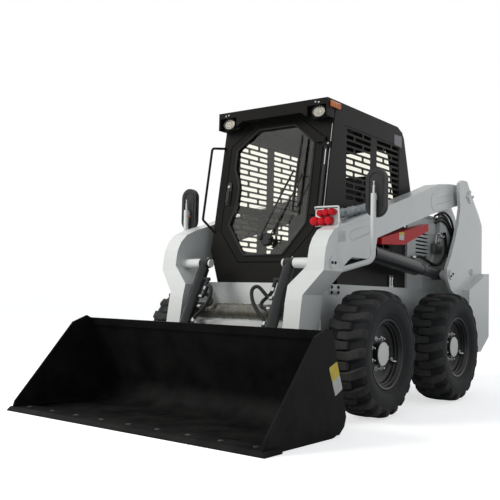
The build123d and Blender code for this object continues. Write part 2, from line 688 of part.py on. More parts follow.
bucket_side = [(-1800, 0), (-1783, 61), (-1567, 297), (-1333, 554), (-1212, 598), (-1150, 572), (-990, 101),
               (-1010, 50), (-1062, 12)]
with BuildPart() as bucket:
    with BuildSketch(Plane.YZ.offset(-bucket_half + 2)):
        with BuildLine():
            FilletPolyline((lip_y + 30, 6), (-963.8, 6), (-1153.7, 558), radius=130)
        trace(line_width=bucket_plate)
    extrude(amount=2 * bucket_half - 4)
    for x in (-bucket_half, bucket_half - bucket_plate):
        extrude(side_view(bucket_side, x), amount=bucket_plate)
    extrude(side_view([(lip_y, 0), (lip_y, 6), (lip_y + 25, 26), (-1660, 26), (-1660, 0)], -edge_half),
            amount=2 * edge_half)
    extrude(side_view([(-1138, 532), (-1156, 582), (-1180, 582), (-1164, 532)], -bucket_half + 2),
            amount=2 * bucket_half - 4)
finish(bucket.part, "bucket")

with BuildPart() as quick_attach:
    plate = [behind_back(95, 0), behind_back(95, 24), behind_back(400, 24), behind_back(400, 0)]
    extrude(side_view(plate, -570), amount=1140)
    for low, high in ((400, 420), (553, 573), (tilt_x - 52, tilt_x - 36), (tilt_x + 36, tilt_x + 44)):
        near_tilt = high < 400
        eye_at = tilt_foot if near_tilt else tool_pivot
        if near_tilt:
            ear = [behind_back(250, 20), behind_back(420, 20), (tilt_foot[0] - 10, tilt_foot[1] + 40),
                   (tilt_foot[0] + 30, tilt_foot[1]), (tilt_foot[0] - 10, tilt_foot[1] - 40)]
        else:
            ear = [behind_back(97, 20), behind_back(260, 20), (tool_pivot[0], tool_pivot[1] + 45),
                   (tool_pivot[0] + 45, tool_pivot[1]), (tool_pivot[0], tool_pivot[1] - 45)]
        extrude(side_view(ear, low), amount=high - low)
    cross_pin((400, 573), tool_pivot, 25)
    mirror(about=Plane.YZ)
finish(quick_attach.part, "quick_attach")
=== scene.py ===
# %% [markdown]
# Skid steer loader, dressed for a studio picture
#
# The CAD model gives every rigid piece its true size and place. Blender adds what a factory adds last:
# paint, rubber, glass, tyre tread, bolts, caps, hoses and blank labels. We load the model first, because
# everything that follows is placed from it, in metres, with the machine facing -Y.

import json
import math

import bmesh
import bpy
from mathutils import Matrix, Vector


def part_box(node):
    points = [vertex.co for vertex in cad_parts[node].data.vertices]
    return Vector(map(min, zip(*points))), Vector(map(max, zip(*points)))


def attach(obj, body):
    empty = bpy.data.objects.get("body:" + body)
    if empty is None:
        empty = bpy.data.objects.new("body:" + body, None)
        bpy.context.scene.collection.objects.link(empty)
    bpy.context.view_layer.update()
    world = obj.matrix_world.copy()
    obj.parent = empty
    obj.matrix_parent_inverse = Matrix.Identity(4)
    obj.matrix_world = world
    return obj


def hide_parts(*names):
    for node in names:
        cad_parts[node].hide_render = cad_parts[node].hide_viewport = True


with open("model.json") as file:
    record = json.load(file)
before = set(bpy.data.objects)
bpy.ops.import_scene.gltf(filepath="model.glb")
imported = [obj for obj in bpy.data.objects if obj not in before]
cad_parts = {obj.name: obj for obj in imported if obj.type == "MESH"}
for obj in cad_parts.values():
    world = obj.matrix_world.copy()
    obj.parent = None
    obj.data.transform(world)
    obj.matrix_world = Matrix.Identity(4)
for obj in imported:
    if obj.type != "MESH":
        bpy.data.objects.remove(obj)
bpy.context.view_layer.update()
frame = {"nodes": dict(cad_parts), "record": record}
nodes = frame["nodes"]
print("CAD nodes:", len(nodes))

# %% [markdown]
# The camera stands low in front of the machine, a little to its left, as the photographer did. Its place
# was solved from known sizes on the machine: wheelbase, tyre size and bucket width. The lens is fairly
# long, and a small shift puts the picture's middle where the photograph has it.

# %% Camera
camera_data = bpy.data.cameras.new("camera")
camera_data.sensor_width = 36
picture = 500
focal_length = 757.63
camera_data.lens = focal_length / picture * 36
camera_data.shift_x = (250 - 227.51) / picture
camera_data.shift_y = (248.27 - 250) / picture
camera_data.clip_end = 200
camera = bpy.data.objects.new("camera", camera_data)
right = Vector((0.7876, 0.6157, 0.0259))
up = Vector((0.0174, -0.0642, 0.9978))
back = -Vector((-0.616, 0.7854, 0.0612))
turn = Matrix((right, up, back)).transposed()
camera.matrix_world = Matrix.Translation((3.0617, -4.7735, 0.7635)) @ turn.to_4x4()
bpy.context.scene.collection.objects.link(camera)
bpy.context.scene.camera = camera
bpy.context.scene.view_settings.view_transform = "Standard"
print("camera stands at", [round(x, 2) for x in camera.location])

# %% [markdown]
# Materials are node trees, so that they have grain and wear at any distance and need no pictures. A few
# effects come back in many of them: fine grain of sprayed paint, dust that settles low down and on upward
# faces, and a slow change of tone over large panels. Each is made once as a node group that puts out a mask
# or a height, and every material mixes it in with its own values.


# %% Helpers for node trees
def new_group(name, inputs, outputs):
    """A shader node group with its sockets, and the place, input and output nodes that each group uses."""
    tree = bpy.data.node_groups.new(name, "ShaderNodeTree")
    for label, kind, value in inputs:
        socket = tree.interface.new_socket(label, in_out="INPUT", socket_type="NodeSocket" + kind)
        socket.default_value = value
    for label, kind in outputs:
        tree.interface.new_socket(label, in_out="OUTPUT", socket_type="NodeSocket" + kind)
    kinds = ("ShaderNodeTexCoord", "NodeGroupInput", "NodeGroupOutput")
    return [tree] + [tree.nodes.new(kind) for kind in kinds]


def add_node(tree, kind, **values):
    """A node with its settings; a name that isn't a setting is a socket, with _ for a space."""
    node = tree.nodes.new(kind)
    for key, value in values.items():
        if hasattr(node, key):
            setattr(node, key, value)
        else:
            node.inputs[key.replace("_", " ")].default_value = value
    return node


def ramp(tree, **values):
    """A clamped change from one range of values to another."""
    return add_node(tree, "ShaderNodeMapRange", clamp=True, **values)


def join(tree, *links):
    """Links given as (from node, socket, to node, socket)."""
    for source, output, target, entry in links:
        tree.links.new(source.outputs[output], target.inputs[entry])

# %% Group: paint grain, the orange peel of a sprayed surface
paint_grain, place, entry, leave = new_group("paint_grain", [("Scale", "Float", 900.0)],
                                             [("Height", "Float")])
peel = add_node(paint_grain, "ShaderNodeTexNoise", Detail=2.0, Roughness=0.5)
join(paint_grain, (place, "Object", peel, "Vector"), (entry, "Scale", peel, "Scale"),
     (peel, 0, leave, "Height"))

# %% Group: settled dust, more of it low down and on upward faces
settled_dust, place, entry, leave = new_group("settled_dust",
                                              [("Amount", "Float", 0.3), ("Top", "Float", 0.9)],
                                              [("Mask", "Float")])
split = add_node(settled_dust, "ShaderNodeSeparateXYZ")
height = ramp(settled_dust, To_Min=1.0, To_Max=0.0)
surface = add_node(settled_dust, "ShaderNodeNewGeometry")
facing = add_node(settled_dust, "ShaderNodeSeparateXYZ")
upward = ramp(settled_dust, From_Min=0.3, To_Max=0.8)
larger = add_node(settled_dust, "ShaderNodeMath", operation="MAXIMUM")
blotch = add_node(settled_dust, "ShaderNodeTexNoise", Scale=6.0, Detail=5.0, Roughness=0.65)
patchy = ramp(settled_dust, From_Min=0.35, From_Max=0.7)
times = add_node(settled_dust, "ShaderNodeMath", operation="MULTIPLY")
scaled = add_node(settled_dust, "ShaderNodeMath", operation="MULTIPLY", use_clamp=True)
join(settled_dust, (place, "Object", split, 0), (split, "Z", height, "Value"),
     (entry, "Top", height, "From Max"),
     (surface, "Normal", facing, 0), (facing, "Z", upward, "Value"), (height, 0, larger, 0),
     (upward, 0, larger, 1),
     (place, "Object", blotch, "Vector"), (blotch, 0, patchy, "Value"), (larger, 0, times, 0),
     (patchy, 0, times, 1), (times, 0, scaled, 0), (entry, "Amount", scaled, 1), (scaled, 0, leave, "Mask"))

# %% Group: slow tone, the uneven shade of a large painted panel
slow_tone, place, entry, leave = new_group(
    "slow_tone",
    [("Color", "Color", (0.8, 0.8, 0.8, 1)), ("Strength", "Float", 0.1), ("Scale", "Float", 3.0)],
    [("Color", "Color")])
cloud = add_node(slow_tone, "ShaderNodeTexNoise", Detail=3.0, Roughness=0.6)
darker = add_node(slow_tone, "ShaderNodeMixRGB", blend_type="MULTIPLY")
grey = ramp(slow_tone, From_Min=0.3, From_Max=0.7, To_Min=0.35)
join(slow_tone, (place, "Object", cloud, "Vector"), (entry, "Scale", cloud, "Scale"),
     (cloud, 0, grey, "Value"),
     (entry, "Strength", darker, 0), (entry, "Color", darker, 1), (grey, 0, darker, 2),
     (darker, 0, leave, "Color"))

# %% Group: scuffs, thin bright scratches where metal rubs on earth
scuffs, place, entry, leave = new_group("scuffs", [("Scale", "Float", 12.0), ("Amount", "Float", 0.3)],
                                        [("Mask", "Float")])
stretch = add_node(scuffs, "ShaderNodeMapping", Scale=(1.0, 9.0, 14.0), Rotation=(0.2, 0.1, 0.4))
lines = add_node(scuffs, "ShaderNodeTexNoise", Detail=4.0, Roughness=0.7)
cut = ramp(scuffs, From_Min=0.62, From_Max=0.7)
scaled = add_node(scuffs, "ShaderNodeMath", operation="MULTIPLY", use_clamp=True)
join(scuffs, (place, "Object", stretch, 0), (stretch, 0, lines, "Vector"), (entry, "Scale", lines, "Scale"),
     (lines, 0, cut, "Value"), (cut, 0, scaled, 0), (entry, "Amount", scaled, 1), (scaled, 0, leave, "Mask"))
print("shared node groups:", len(bpy.data.node_groups))

# %% [markdown]
# One recipe makes most finishes here: a base colour with slow tone, dust over it, a sprayed or moulded
# grain in the bump, and scuffs that show a second colour. The shader stays in the material, and each finish
# has its own roughness and coat. A factory does the same: one spray booth, different paints.


# %% A finish made from the groups
def new_material(name, **values):
    """A material, its node tree and its shader; the values set sockets of the shader."""
    material = bpy.data.materials.new(name)
    material.use_nodes = True
    shader = material.node_tree.nodes["Principled BSDF"]
    for key, value in values.items():
        shader.inputs[key.replace("_", " ")].default_value = value
    return material, material.node_tree, shader


def finish(name, color, roughness, metallic=0.0, coat=0.0, tone=0.1, tone_scale=3.0, dust=0.25, dust_top=0.9,
           dust_color=(0.32, 0.29, 0.25), grain=900.0, bump=0.04, scuff=0.0, scuff_color=(0.5, 0.5, 0.5),
           specular=0.5):
    """A painted, moulded or bare surface with tone, dust, grain and scuffs."""
    material, tree, shader = new_material(name, Metallic=metallic, Coat_Weight=coat, Coat_Roughness=0.12,
                                          Specular_IOR_Level=specular)

    def group(shared, **values):
        return add_node(tree, "ShaderNodeGroup", node_tree=shared, **values)

    shade = group(slow_tone, Color=(*color, 1), Strength=tone, Scale=tone_scale)
    powder = group(settled_dust, Amount=dust, Top=dust_top)
    last = add_node(tree, "ShaderNodeMixRGB", Color2=(*dust_color, 1))
    join(tree, (shade, "Color", last, 1), (powder, "Mask", last, 0))
    if scuff:
        marks = group(scuffs, Amount=scuff)
        rubbed = add_node(tree, "ShaderNodeMixRGB", Color2=(*scuff_color, 1))
        join(tree, (last, 0, rubbed, 1), (marks, "Mask", rubbed, 0))
        last = rubbed
    rougher = ramp(tree, To_Min=roughness, To_Max=min(1.0, roughness + 0.35))
    peel = group(paint_grain, Scale=grain)
    relief = add_node(tree, "ShaderNodeBump", Strength=bump, Distance=0.001)
    join(tree, (last, 0, shader, "Base Color"), (powder, "Mask", rougher, "Value"),
         (rougher, 0, shader, "Roughness"), (peel, "Height", relief, "Height"), (relief, 0, shader, "Normal"))
    return material
white_paint = finish("white_paint", (0.74, 0.76, 0.75), 0.32, coat=0.25, tone=0.1, dust=0.3,
                     dust_color=(0.45, 0.43, 0.38))
cab_paint = finish("cab_paint", (0.012, 0.0115, 0.0105), 0.45, tone=0.3, dust=0.1, bump=0.1,
                   dust_color=(0.12, 0.11, 0.095), specular=0.12)
bucket_paint = finish("bucket_paint", (0.006, 0.0062, 0.0063), 0.42, tone=0.3, dust=0.12, scuff=0.1,
                      scuff_color=(0.06, 0.06, 0.06), bump=0.08, dust_color=(0.1, 0.095, 0.09), specular=0.06)
cylinder_black = finish("cylinder_black", (0.012, 0.013, 0.015), 0.34, coat=0.08,
                        dust=0.12, bump=0.05, specular=0.3)
rim_paint = finish("rim_paint", (0.01, 0.01, 0.011), 0.3, dust=0.15, dust_top=0.6, specular=0.35)
rubber = finish("tyre_rubber", (0.014, 0.015, 0.017), 0.72, specular=0.25, dust=0.25, dust_top=0.7,
                grain=350.0, bump=0.25, dust_color=(0.13, 0.12, 0.11))
red_paint = finish("red_paint", (0.56, 0.01, 0.016), 0.4, dust=0.08, specular=0.15)
silver = finish("zinc_plate", (0.62, 0.63, 0.64), 0.3, metallic=1.0, dust=0.1, grain=1500.0)
black_plastic = finish("black_plastic", (0.02, 0.02, 0.021), 0.5, grain=1300.0, bump=0.2, dust=0.08)
seat_vinyl = finish("seat_vinyl", (0.018, 0.018, 0.019), 0.55, grain=600.0, bump=0.3, dust=0.05)
engine_iron = finish("engine_iron", (0.06, 0.06, 0.06), 0.6, grain=200.0, bump=0.4)
axle_paint = finish("axle_paint", (0.03, 0.03, 0.03), 0.5, dust=0.4, dust_top=0.6)
rod_chrome = finish("rod_chrome", (0.75, 0.75, 0.77), 0.12, metallic=1.0, dust=0.02, grain=2000.0, bump=0.02)
amber = finish("amber_lens", (0.8, 0.2, 0.01), 0.15, coat=0.6, dust=0.05)
print("finishes:", len(bpy.data.materials))

# %% Glass and lamp lens, with transmission in the shader
cab_glass = new_material("cab_glass", Base_Color=(0.98, 0.965, 0.86, 1), Roughness=0.0,
                         Transmission_Weight=1.0, IOR=1.45)[0]
lens_glass = new_material("lens_glass", Base_Color=(0.9, 0.9, 0.88, 1), Roughness=0.1,
                          Transmission_Weight=0.6, IOR=1.45)[0]

# %% Paint the CAD nodes
slots = {"white_paint": white_paint, "axle_paint": axle_paint, "cab_paint": cab_paint,
         "engine_iron": engine_iron, "cab_glass": cab_glass, "seat_cover": seat_vinyl,
         "black_plastic": black_plastic, "lamp_lens": lens_glass, "amber_lens": amber, "red_paint": red_paint,
         "bucket_paint": bucket_paint, "rim_paint": rim_paint, "tyre_rubber": rubber,
         "cylinder_black": cylinder_black, "rod_chrome": rod_chrome, "hose_rubber": black_plastic}
slot_of = {part["node"]: part["material_slot"] for part in frame["record"]["subparts"]}
for name, node in nodes.items():
    node.data.materials.clear()
    node.data.materials.append(slots[slot_of[name]])
print("painted nodes:", len(nodes))

# %% [markdown]
# Small parts share a few makers, as in a workshop. A plate is an outline that is thickened and has its
# edges broken. A turned part is a profile swept round an axis, as on a lathe. A bar or hose is a curve with
# a round section. Each new piece says which body of the machine it rides on, so that it moves when the
# machine does.

# %% Makers for new pieces
sides = (("left", 1), ("right", -1))


def add_piece(name, data, material, body):
    """Anything new: it rides on a body and has its material."""
    data.materials.append(material)
    piece = bpy.data.objects.new(name, data)
    bpy.context.scene.collection.objects.link(piece)
    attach(piece, body)
    return piece


def put_in(name, shape, material, body, smooth=35, replaces=(), second=None):
    """Turn a bmesh into a piece that may stand for CAD nodes."""
    bmesh.ops.recalc_face_normals(shape, faces=shape.faces)
    mesh = bpy.data.meshes.new(name)
    shape.to_mesh(mesh)
    shape.free()
    for face in mesh.polygons:
        face.use_smooth = True
    mesh.set_sharp_from_angle(angle=math.radians(smooth))
    piece = add_piece(name, mesh, material, body)
    if second:
        mesh.materials.append(second)
    if replaces:
        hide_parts(*replaces)
    return piece


def across(axis, at, pairs):
    """Points at one value of an axis (0, 1 or 2), from pairs of the other two coordinates."""
    return [(*pair[:axis], at, *pair[axis:]) for pair in pairs]


def box(low, high):
    """The corners of a rectangle, from two opposite ones."""
    return [low, (high[0], low[1]), high, (low[0], high[1])]


def plate(shape, corners, thickness, bevel=0.0015, segments=2):
    """A plate: its outline in space, the vector it is thickened along, and softened edges."""
    low = [shape.verts.new(corner) for corner in corners]
    high = [shape.verts.new(Vector(corner) + Vector(thickness)) for corner in corners]
    faces = [shape.faces.new(low[::-1]), shape.faces.new(high)]
    for here in range(len(low)):
        after = (here + 1) % len(low)
        faces.append(shape.faces.new((low[here], low[after], high[after], high[here])))
    edges = list(dict.fromkeys(edge for face in faces for edge in face.edges))
    bmesh.ops.bevel(shape, geom=edges, offset=bevel, segments=segments, affect="EDGES", profile=0.5,
                    clamp_overlap=True)


def turned(shape, profile, centre, axis, steps=32):
    """A turned part: pairs of radius and distance along the axis, swept round it."""
    along = Vector(axis).normalized()
    side = along.orthogonal().normalized()
    other = along.cross(side)
    angles = [2 * math.pi * step / steps for step in range(steps)]
    rings = []
    for radius, distance in profile:
        middle = Vector(centre) + along * distance
        turns = angles if radius > 1e-6 else [0]
        spokes = [side * math.cos(angle) + other * math.sin(angle) for angle in turns]
        rings.append([shape.verts.new(middle + spoke * radius) for spoke in spokes])
    for first, second in zip(rings, rings[1:]):
        for step in range(steps):
            after = (step + 1) % steps
            corners = []
            for ring, index in ((first, step), (first, after), (second, after), (second, step)):
                vert = ring[index % len(ring)]
                if vert not in corners:
                    corners.append(vert)
            if len(corners) > 2:
                shape.faces.new(corners)


def bolt(shape, place, direction, size=0.01):
    """A hexagon head on a washer; size is half the distance across its corners."""
    washer = [(0, 0), (1.35 * size, 0), (1.35 * size, 0.18 * size), (1.25 * size, 0.25 * size),
              (0, 0.25 * size)]
    turned(shape, washer, place, direction, 20)
    turned(shape,
           [(size, 0.25 * size), (size, 0.85 * size), (0.86 * size, size), (0, size)], place, direction, 6)


def rod(name, points, radius, material, body, order=3, resolution=3, cyclic=False):
    """A bar, wire or hose: a smooth curve near its points with a round section."""
    data = bpy.data.curves.new(name, "CURVE")
    data.dimensions = "3D"
    data.bevel_depth = radius
    data.bevel_resolution = resolution
    data.resolution_u = 6
    data.use_fill_caps = True
    spline = data.splines.new("NURBS")
    spline.points.add(len(points) - 1)
    for entry, point in zip(spline.points, points):
        entry.co = (*point, 1)
    spline.order_u = order
    spline.use_cyclic_u = cyclic
    spline.use_endpoint_u = not cyclic
    return add_piece(name, data, material, body)


def tight_bends(points, bend):
    """Extra points beside each corner, so that a smooth curve keeps its straight runs."""
    made = [Vector(points[0])]
    for before, corner, after in zip(points, points[1:], points[2:]):
        corner = Vector(corner)
        made.append(corner + (Vector(before) - corner).normalized() * bend)
        made.append(corner)
        made.append(corner + (Vector(after) - corner).normalized() * bend)
    return made + [Vector(points[-1])]
print("makers ready")

# %% [markdown]
# The tyres carry the most visible pattern of the machine. A loader tyre has two rows of deep lugs that meet
# past the middle: each runs straight across the crown, then bends back to the shoulder. The rows are half a
# step apart. We sweep a smooth carcass round the axle and then lay each lug as a small loft over it, with
# sloping sides and a broken top edge, because a real mould needs that draft to let the tyre go.

# %% Tyre carcass and lugs
tyre_radius = 0.41
hub_x = 0.755
lugs_a_row = 20

carcass_side = [(0.109, 0.229), (0.116, 0.2345), (0.1215, 0.244), (0.1215, 0.25), (0.127, 0.256),
                (0.1345, 0.276), (0.139, 0.3), (0.14, 0.318), (0.1385, 0.334), (0.1365, 0.343),
                (0.139, 0.347), (0.1385, 0.3525), (0.133, 0.356), (0.127, 0.366), (0.113, 0.376),
                (0.085, 0.3815), (0.04, 0.383)]
lug_stations = [(-0.043, -0.017, 0.017, 0.386), (-0.036, -0.024, 0.024, 0.4035),
                (-0.025, -0.024, 0.0245, 0.407),
                (0.0, -0.024, 0.026, 0.41), (0.03, -0.024, 0.029, 0.4098), (0.048, -0.027, 0.027, 0.4092),
                (0.075, -0.037, 0.018, 0.4075), (0.1, -0.0465, 0.0095, 0.403), (0.118, -0.053, 0.004, 0.395),
                (0.129, -0.057, 0.0, 0.384), (0.1355, -0.0595, -0.0025, 0.37),
                (0.1385, -0.0605, -0.004, 0.353)]


def carcass_radius(x):
    """How far the carcass stands from the axle under the tread."""
    table = [(0.0, 0.383), (0.085, 0.3815), (0.113, 0.376), (0.127, 0.366), (0.133, 0.356), (0.14, 0.347)]
    for (x_low, low), (x_high, high) in zip(table, table[1:]):
        if abs(x) <= x_high:
            return low + (high - low) * (abs(x) - x_low) / (x_high - x_low)
    return table[-1][1]


def lug(shape, centre, turn, hand):
    """One lug of the tread; hand is 1 or -1 for the half of the tread that it belongs to."""
    rings = []
    for x, lead, trail, top in lug_stations:
        base = min(carcass_radius(x) - 0.004, top - 0.004)
        edge = min(0.005, (top - base) * 0.4)
        section = [(lead - 0.008, base), (lead - 0.0015, top - edge), (lead + 0.0035, top),
                   ((lead + trail) / 2, top), (trail - 0.0035, top), (trail + 0.0015, top - edge),
                   (trail + 0.008, base)]
        ring = []
        for offset, radius in section:
            angle = turn + offset / tyre_radius
            ring.append(shape.verts.new((centre[0] + hand * x, centre[1] - radius * math.sin(angle),
                                         centre[2] + radius * math.cos(angle))))
        rings.append(ring)
    faces = [shape.faces.new((first[low], first[low + 1], second[low + 1], second[low]))
             for first, second in zip(rings, rings[1:]) for low in range(6)]
    for face in faces + [shape.faces.new(rings[0]), shape.faces.new(rings[-1])]:
        face.material_index = 1


tread_rubber = finish("tread_rubber", (0.026, 0.027, 0.027), 0.8, specular=0.25, dust=0.45, dust_top=1.6,
                      grain=300.0, bump=0.3, dust_color=(0.15, 0.145, 0.135))
outline = [(radius, x) for x, radius in carcass_side]
outline += [(radius, -x) for radius, x in reversed(outline)]
wheels = {}
for axle in ("front", "rear"):
    low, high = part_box(f"tyre_{axle}_left")
    for side_name, side in sides:
        wheels[f"{axle}_{side_name}"] = (side, Vector((side * hub_x, (low[1] + high[1]) / 2, tyre_radius)))
for wheel, (side, centre) in wheels.items():
    shape = bmesh.new()
    turned(shape, outline, centre, (1, 0, 0), 88)
    for step in range(lugs_a_row):
        for hand, start in ((1, 180), (-1, 189)):
            lug(shape, centre, -math.radians(start + 360 / lugs_a_row * step), hand)
    made = put_in("tread_" + wheel, shape, rubber, "wheel_" + wheel, 32,
                  ("tyre_" + wheel,), tread_rubber)
print("tyre faces:", len(made.data.polygons))

# %% [markdown]
# The rims are pressed steel, deep dished, with a hump, a well and a rolled lip that catch the light as
# rings. Eight nuts hold each on its hub, under a pale plastic cap, and a small bracket guards the valve. A
# turned profile gives all the rings at once; nuts, bracket and cap are pieces of their own that ride on the
# wheel, because they turn with it.

# %% Rims, nuts, caps and valve guards
rim_profile = [(0.214, -0.108), (0.228, -0.108), (0.228, -0.116), (0.222, -0.116), (0.208, -0.102),
               (0.2, -0.09), (0.198, 0.01), (0.072, 0.01), (0.072, 0.045), (0.118, 0.045),
               (0.15, 0.048), (0.178, 0.05), (0.186, 0.055), (0.189, 0.061), (0.189, 0.072),
               (0.1905, 0.0745), (0.1965, 0.0765), (0.1985, 0.079), (0.199, 0.09), (0.201, 0.0925),
               (0.206, 0.0935), (0.208, 0.096), (0.21, 0.106), (0.213, 0.112), (0.219, 0.1155),
               (0.225, 0.116), (0.2285, 0.113), (0.2285, 0.1075), (0.214, 0.107), (0.214, -0.108)]
hub_profile = [(0.072, 0.01), (0.072, -0.01), (0.069, 0.045), (0.0685, 0.075), (0.066, 0.08), (0.0, 0.08)]
cap_profile = [(0.07, 0.078), (0.0745, 0.079), (0.076, 0.0815), (0.075, 0.0845), (0.07, 0.086), (0.0, 0.087)]
cap_white = finish("cap_white", (0.82, 0.82, 0.8), 0.45, tone=0.05, dust=0.12, dust_color=(0.5, 0.48, 0.44))
for wheel, (side, centre) in wheels.items():
    body = "wheel_" + wheel
    outward = Vector((side, 0, 0))
    shape = bmesh.new()
    turned(shape, rim_profile, centre, outward, 72)
    turned(shape, hub_profile, centre, outward, 40)
    put_in("rim_form_" + wheel, shape, rim_paint, body, 30, ("rim_" + wheel,))
    shape = bmesh.new()
    for step in range(8):
        angle = 2 * math.pi * (step + 0.5) / 8
        place = centre + Vector((side * 0.0475, 0.1016 * math.cos(angle), 0.1016 * math.sin(angle)))
        bolt(shape, place, outward, 0.0125)
        turned(shape, [(0.0065, 0.01), (0.0065, 0.024), (0.005, 0.026), (0, 0.026)], place, outward, 10)
    valve = centre + Vector((side * 0.062, 0.165, -0.055))
    turned(shape, [(0.0055, 0.0), (0.0055, 0.022), (0.004, 0.03), (0, 0.03)], valve, (side, 0.4, -0.1), 10)
    bolt(shape, valve + Vector((side * 0.006, -0.02, 0.014)), outward, 0.009)
    put_in("nuts_" + wheel, shape, silver, body, 30)
    shape = bmesh.new()
    corner = valve + Vector((side * 0.012, 0.022, 0))
    upright = [(0, -0.016, -0.022), (0, 0.016, -0.022), (0, 0.02, 0.018), (0, -0.02, 0.018)]
    plate(shape, [corner + Vector(point) for point in upright], (side * 0.003, 0, 0), 0.001)
    level = [(0, -0.02, 0.018), (0, 0.02, 0.018), (side * -0.028, 0.02, 0.02), (side * -0.028, -0.02, 0.02)]
    plate(shape, [corner + Vector(point) for point in level], (0, 0, 0.003), 0.0008)
    put_in("valve_guard_" + wheel, shape, rim_paint, body, 30)
    shape = bmesh.new()
    turned(shape, cap_profile, centre, outward, 48)
    put_in("hub_cap_" + wheel, shape, cap_white, body, 40)
print("wheels dressed:", len(wheels))

# %% [markdown]
# The cab door is a steel frame round one large pane. A rubber seal runs round the pane, a lock case with a
# handle sits in the waist of the frame, and a wiper with two arms parks across the glass. Everything on the
# door is placed by a small function of its own, because the front of the cab leans back.


# %% Door seal, lock and wiper
def on_door(x, z, out=0.0):
    """A point on the leaning front of the cab, that far in front of its face."""
    return Vector((x, -0.42 + 0.164 * (z - 1.371), z)) + Vector((0, -0.986818, 0.161836)) * out


pane = [(-0.165, 1.046), (0.165, 1.046), (0.33, 1.262), (0.33, 1.83), (0.158, 1.975), (-0.158, 1.975),
        (-0.336, 1.83), (-0.336, 1.69), (-0.302, 1.62), (-0.28, 1.545), (-0.28, 1.44), (-0.3, 1.355),
        (-0.332, 1.27)]
black_rubber = finish("black_rubber", (0.012, 0.012, 0.013), 0.62, grain=500.0, bump=0.15, dust=0.05)
closed = [pane[-1]] + pane + [pane[0]]
seal_points = []
for before, corner, after in zip(closed, closed[1:], closed[2:]):
    bend = min(0.03, 0.4 * math.dist(before, corner), 0.4 * math.dist(corner, after))
    for other, share in ((before, bend / math.dist(before, corner)), (corner, 0),
                         (after, bend / math.dist(after, corner))):
        seal_points.append(on_door(corner[0] + (other[0] - corner[0]) * share,
                                   corner[1] + (other[1] - corner[1]) * share, 0.001))
rod("door_seal", seal_points, 0.0085, black_rubber, "cab_door", cyclic=True)

outward = on_door(0, 0, 1) - on_door(0, 0)
shape = bmesh.new()
case = [(-0.384, 1.418), (-0.352, 1.418), (-0.345, 1.432), (-0.345, 1.575), (-0.352, 1.59), (-0.384, 1.59)]
plate(shape, [on_door(x, z) for x, z in case], outward * 0.01, 0.003)
paddle = [(-0.379, 1.43), (-0.354, 1.43), (-0.35, 1.445), (-0.352, 1.525), (-0.379, 1.525)]
plate(shape, [on_door(x, z, 0.01) for x, z in paddle], outward * 0.014, 0.005, 3)
put_in("door_lock_case", shape, black_plastic, "cab_door")
shape = bmesh.new()
turned(shape, [(0.011, 0), (0.011, 0.006), (0.009, 0.008), (0.003, 0.008), (0.003, 0.006), (0, 0.006)],
       on_door(-0.366, 1.556, 0.01), outward, 20)
put_in("door_lock_barrel", shape, silver, "cab_door")

shape = bmesh.new()
motor = [(0.044, 0.0), (0.046, 0.006), (0.046, 0.028), (0.04, 0.036), (0.024, 0.04), (0, 0.041)]
turned(shape, motor, on_door(0.035, 1.15), outward, 28)
spindle = [(0.014, 0.03), (0.014, 0.052), (0.01, 0.056), (0, 0.056)]
arms = (("main", (-0.007, 1.158), (0.102, 1.3945), (0.211, 1.631), 0.0065),
        ("second", (0.073, 1.156), (0.1825, 1.3725), (0.292, 1.589), 0.0045))
for _, low, *_ in arms:
    turned(shape, spindle, on_door(*low), outward, 16)
put_in("wiper_motor", shape, black_plastic, "cab_door")
for name, low, middle, high, thick in arms:
    rod("wiper_arm_" + name, [on_door(*low, 0.046), on_door(*middle, 0.05), on_door(*high, 0.04)], thick,
        black_plastic, "cab_door")
rod("wiper_link", [on_door(0.205, 1.618, 0.04), on_door(0.25, 1.622, 0.04), on_door(0.292, 1.589, 0.04)],
    0.004, black_plastic, "cab_door")
shape = bmesh.new()
low, high = on_door(0.228, 1.341, 0.02), on_door(0.242, 1.88, 0.02)
aside = Vector((0.004, 0, 0))
plate(shape, [low - aside, low + aside, high + aside, high - aside], outward * 0.016, 0.002)
for share in (0.15, 0.38, 0.62, 0.85):
    place = low.lerp(high, share) + outward * 0.016
    grip = [place + Vector(point) for point in across(1, 0, box((-0.009, -0.012), (0.009, 0.012)))]
    plate(shape, grip, outward * 0.006, 0.002)
put_in("wiper_blade", shape, black_plastic, "cab_door")
rod("wiper_spine", [low + outward * 0.016, low.lerp(high, 0.5) + outward * 0.034, high + outward * 0.016],
    0.0035, black_plastic, "cab_door")
print("pane corners:", len(pane))

# %% [markdown]
# A gas strut beside the door holds it open. It is a black tube with a bright rod and a ball joint at each
# end. A thin silver bead down the corner of the cab is a painted highlight of the corner's edge, and a few
# small screws complete the front.

# %% Door strut and front trim
shape = bmesh.new()
low, high = on_door(0.436, 1.345, 0.02), on_door(0.436, 1.765, 0.02)
along = (high - low).normalized()
tube = [(0, 0), (0.0085, 0.002), (0.0095, 0.006), (0.0095, 0.308), (0.008, 0.314), (0, 0.314)]
turned(shape, tube, low, along, 20)
for place in (low - along * 0.008, high + along * 0.008):
    turned(shape, [(0, -0.012), (0.007, -0.01), (0.011, 0), (0.007, 0.01), (0, 0.012)], place, (0, 1, 0), 16)
    turned(shape, [(0.006, -0.004), (0.006, 0.02)], place, (0, 1, 0), 12)
put_in("door_strut_tube", shape, black_plastic, "chassis")
shape = bmesh.new()
turned(shape, [(0.004, 0.31), (0.004, (high - low).length), (0, (high - low).length)], low, along, 14)
for z in (1.295, 1.803):
    turned(shape, [(0.0075, 0), (0.0075, 0.003), (0.005, 0.006), (0, 0.0065)],
           on_door(0.447, z, 0.016), outward, 14)
for x, z in ((-0.4, 2.086), (-0.375, 2.09), (0.372, 2.09), (0.398, 2.086)):
    turned(shape, [(0.007, 0), (0.007, 0.002), (0.0045, 0.005), (0, 0.0055)], (x, -0.415, z), (0, -1, 0), 12)
put_in("cab_screws", shape, silver, "chassis")
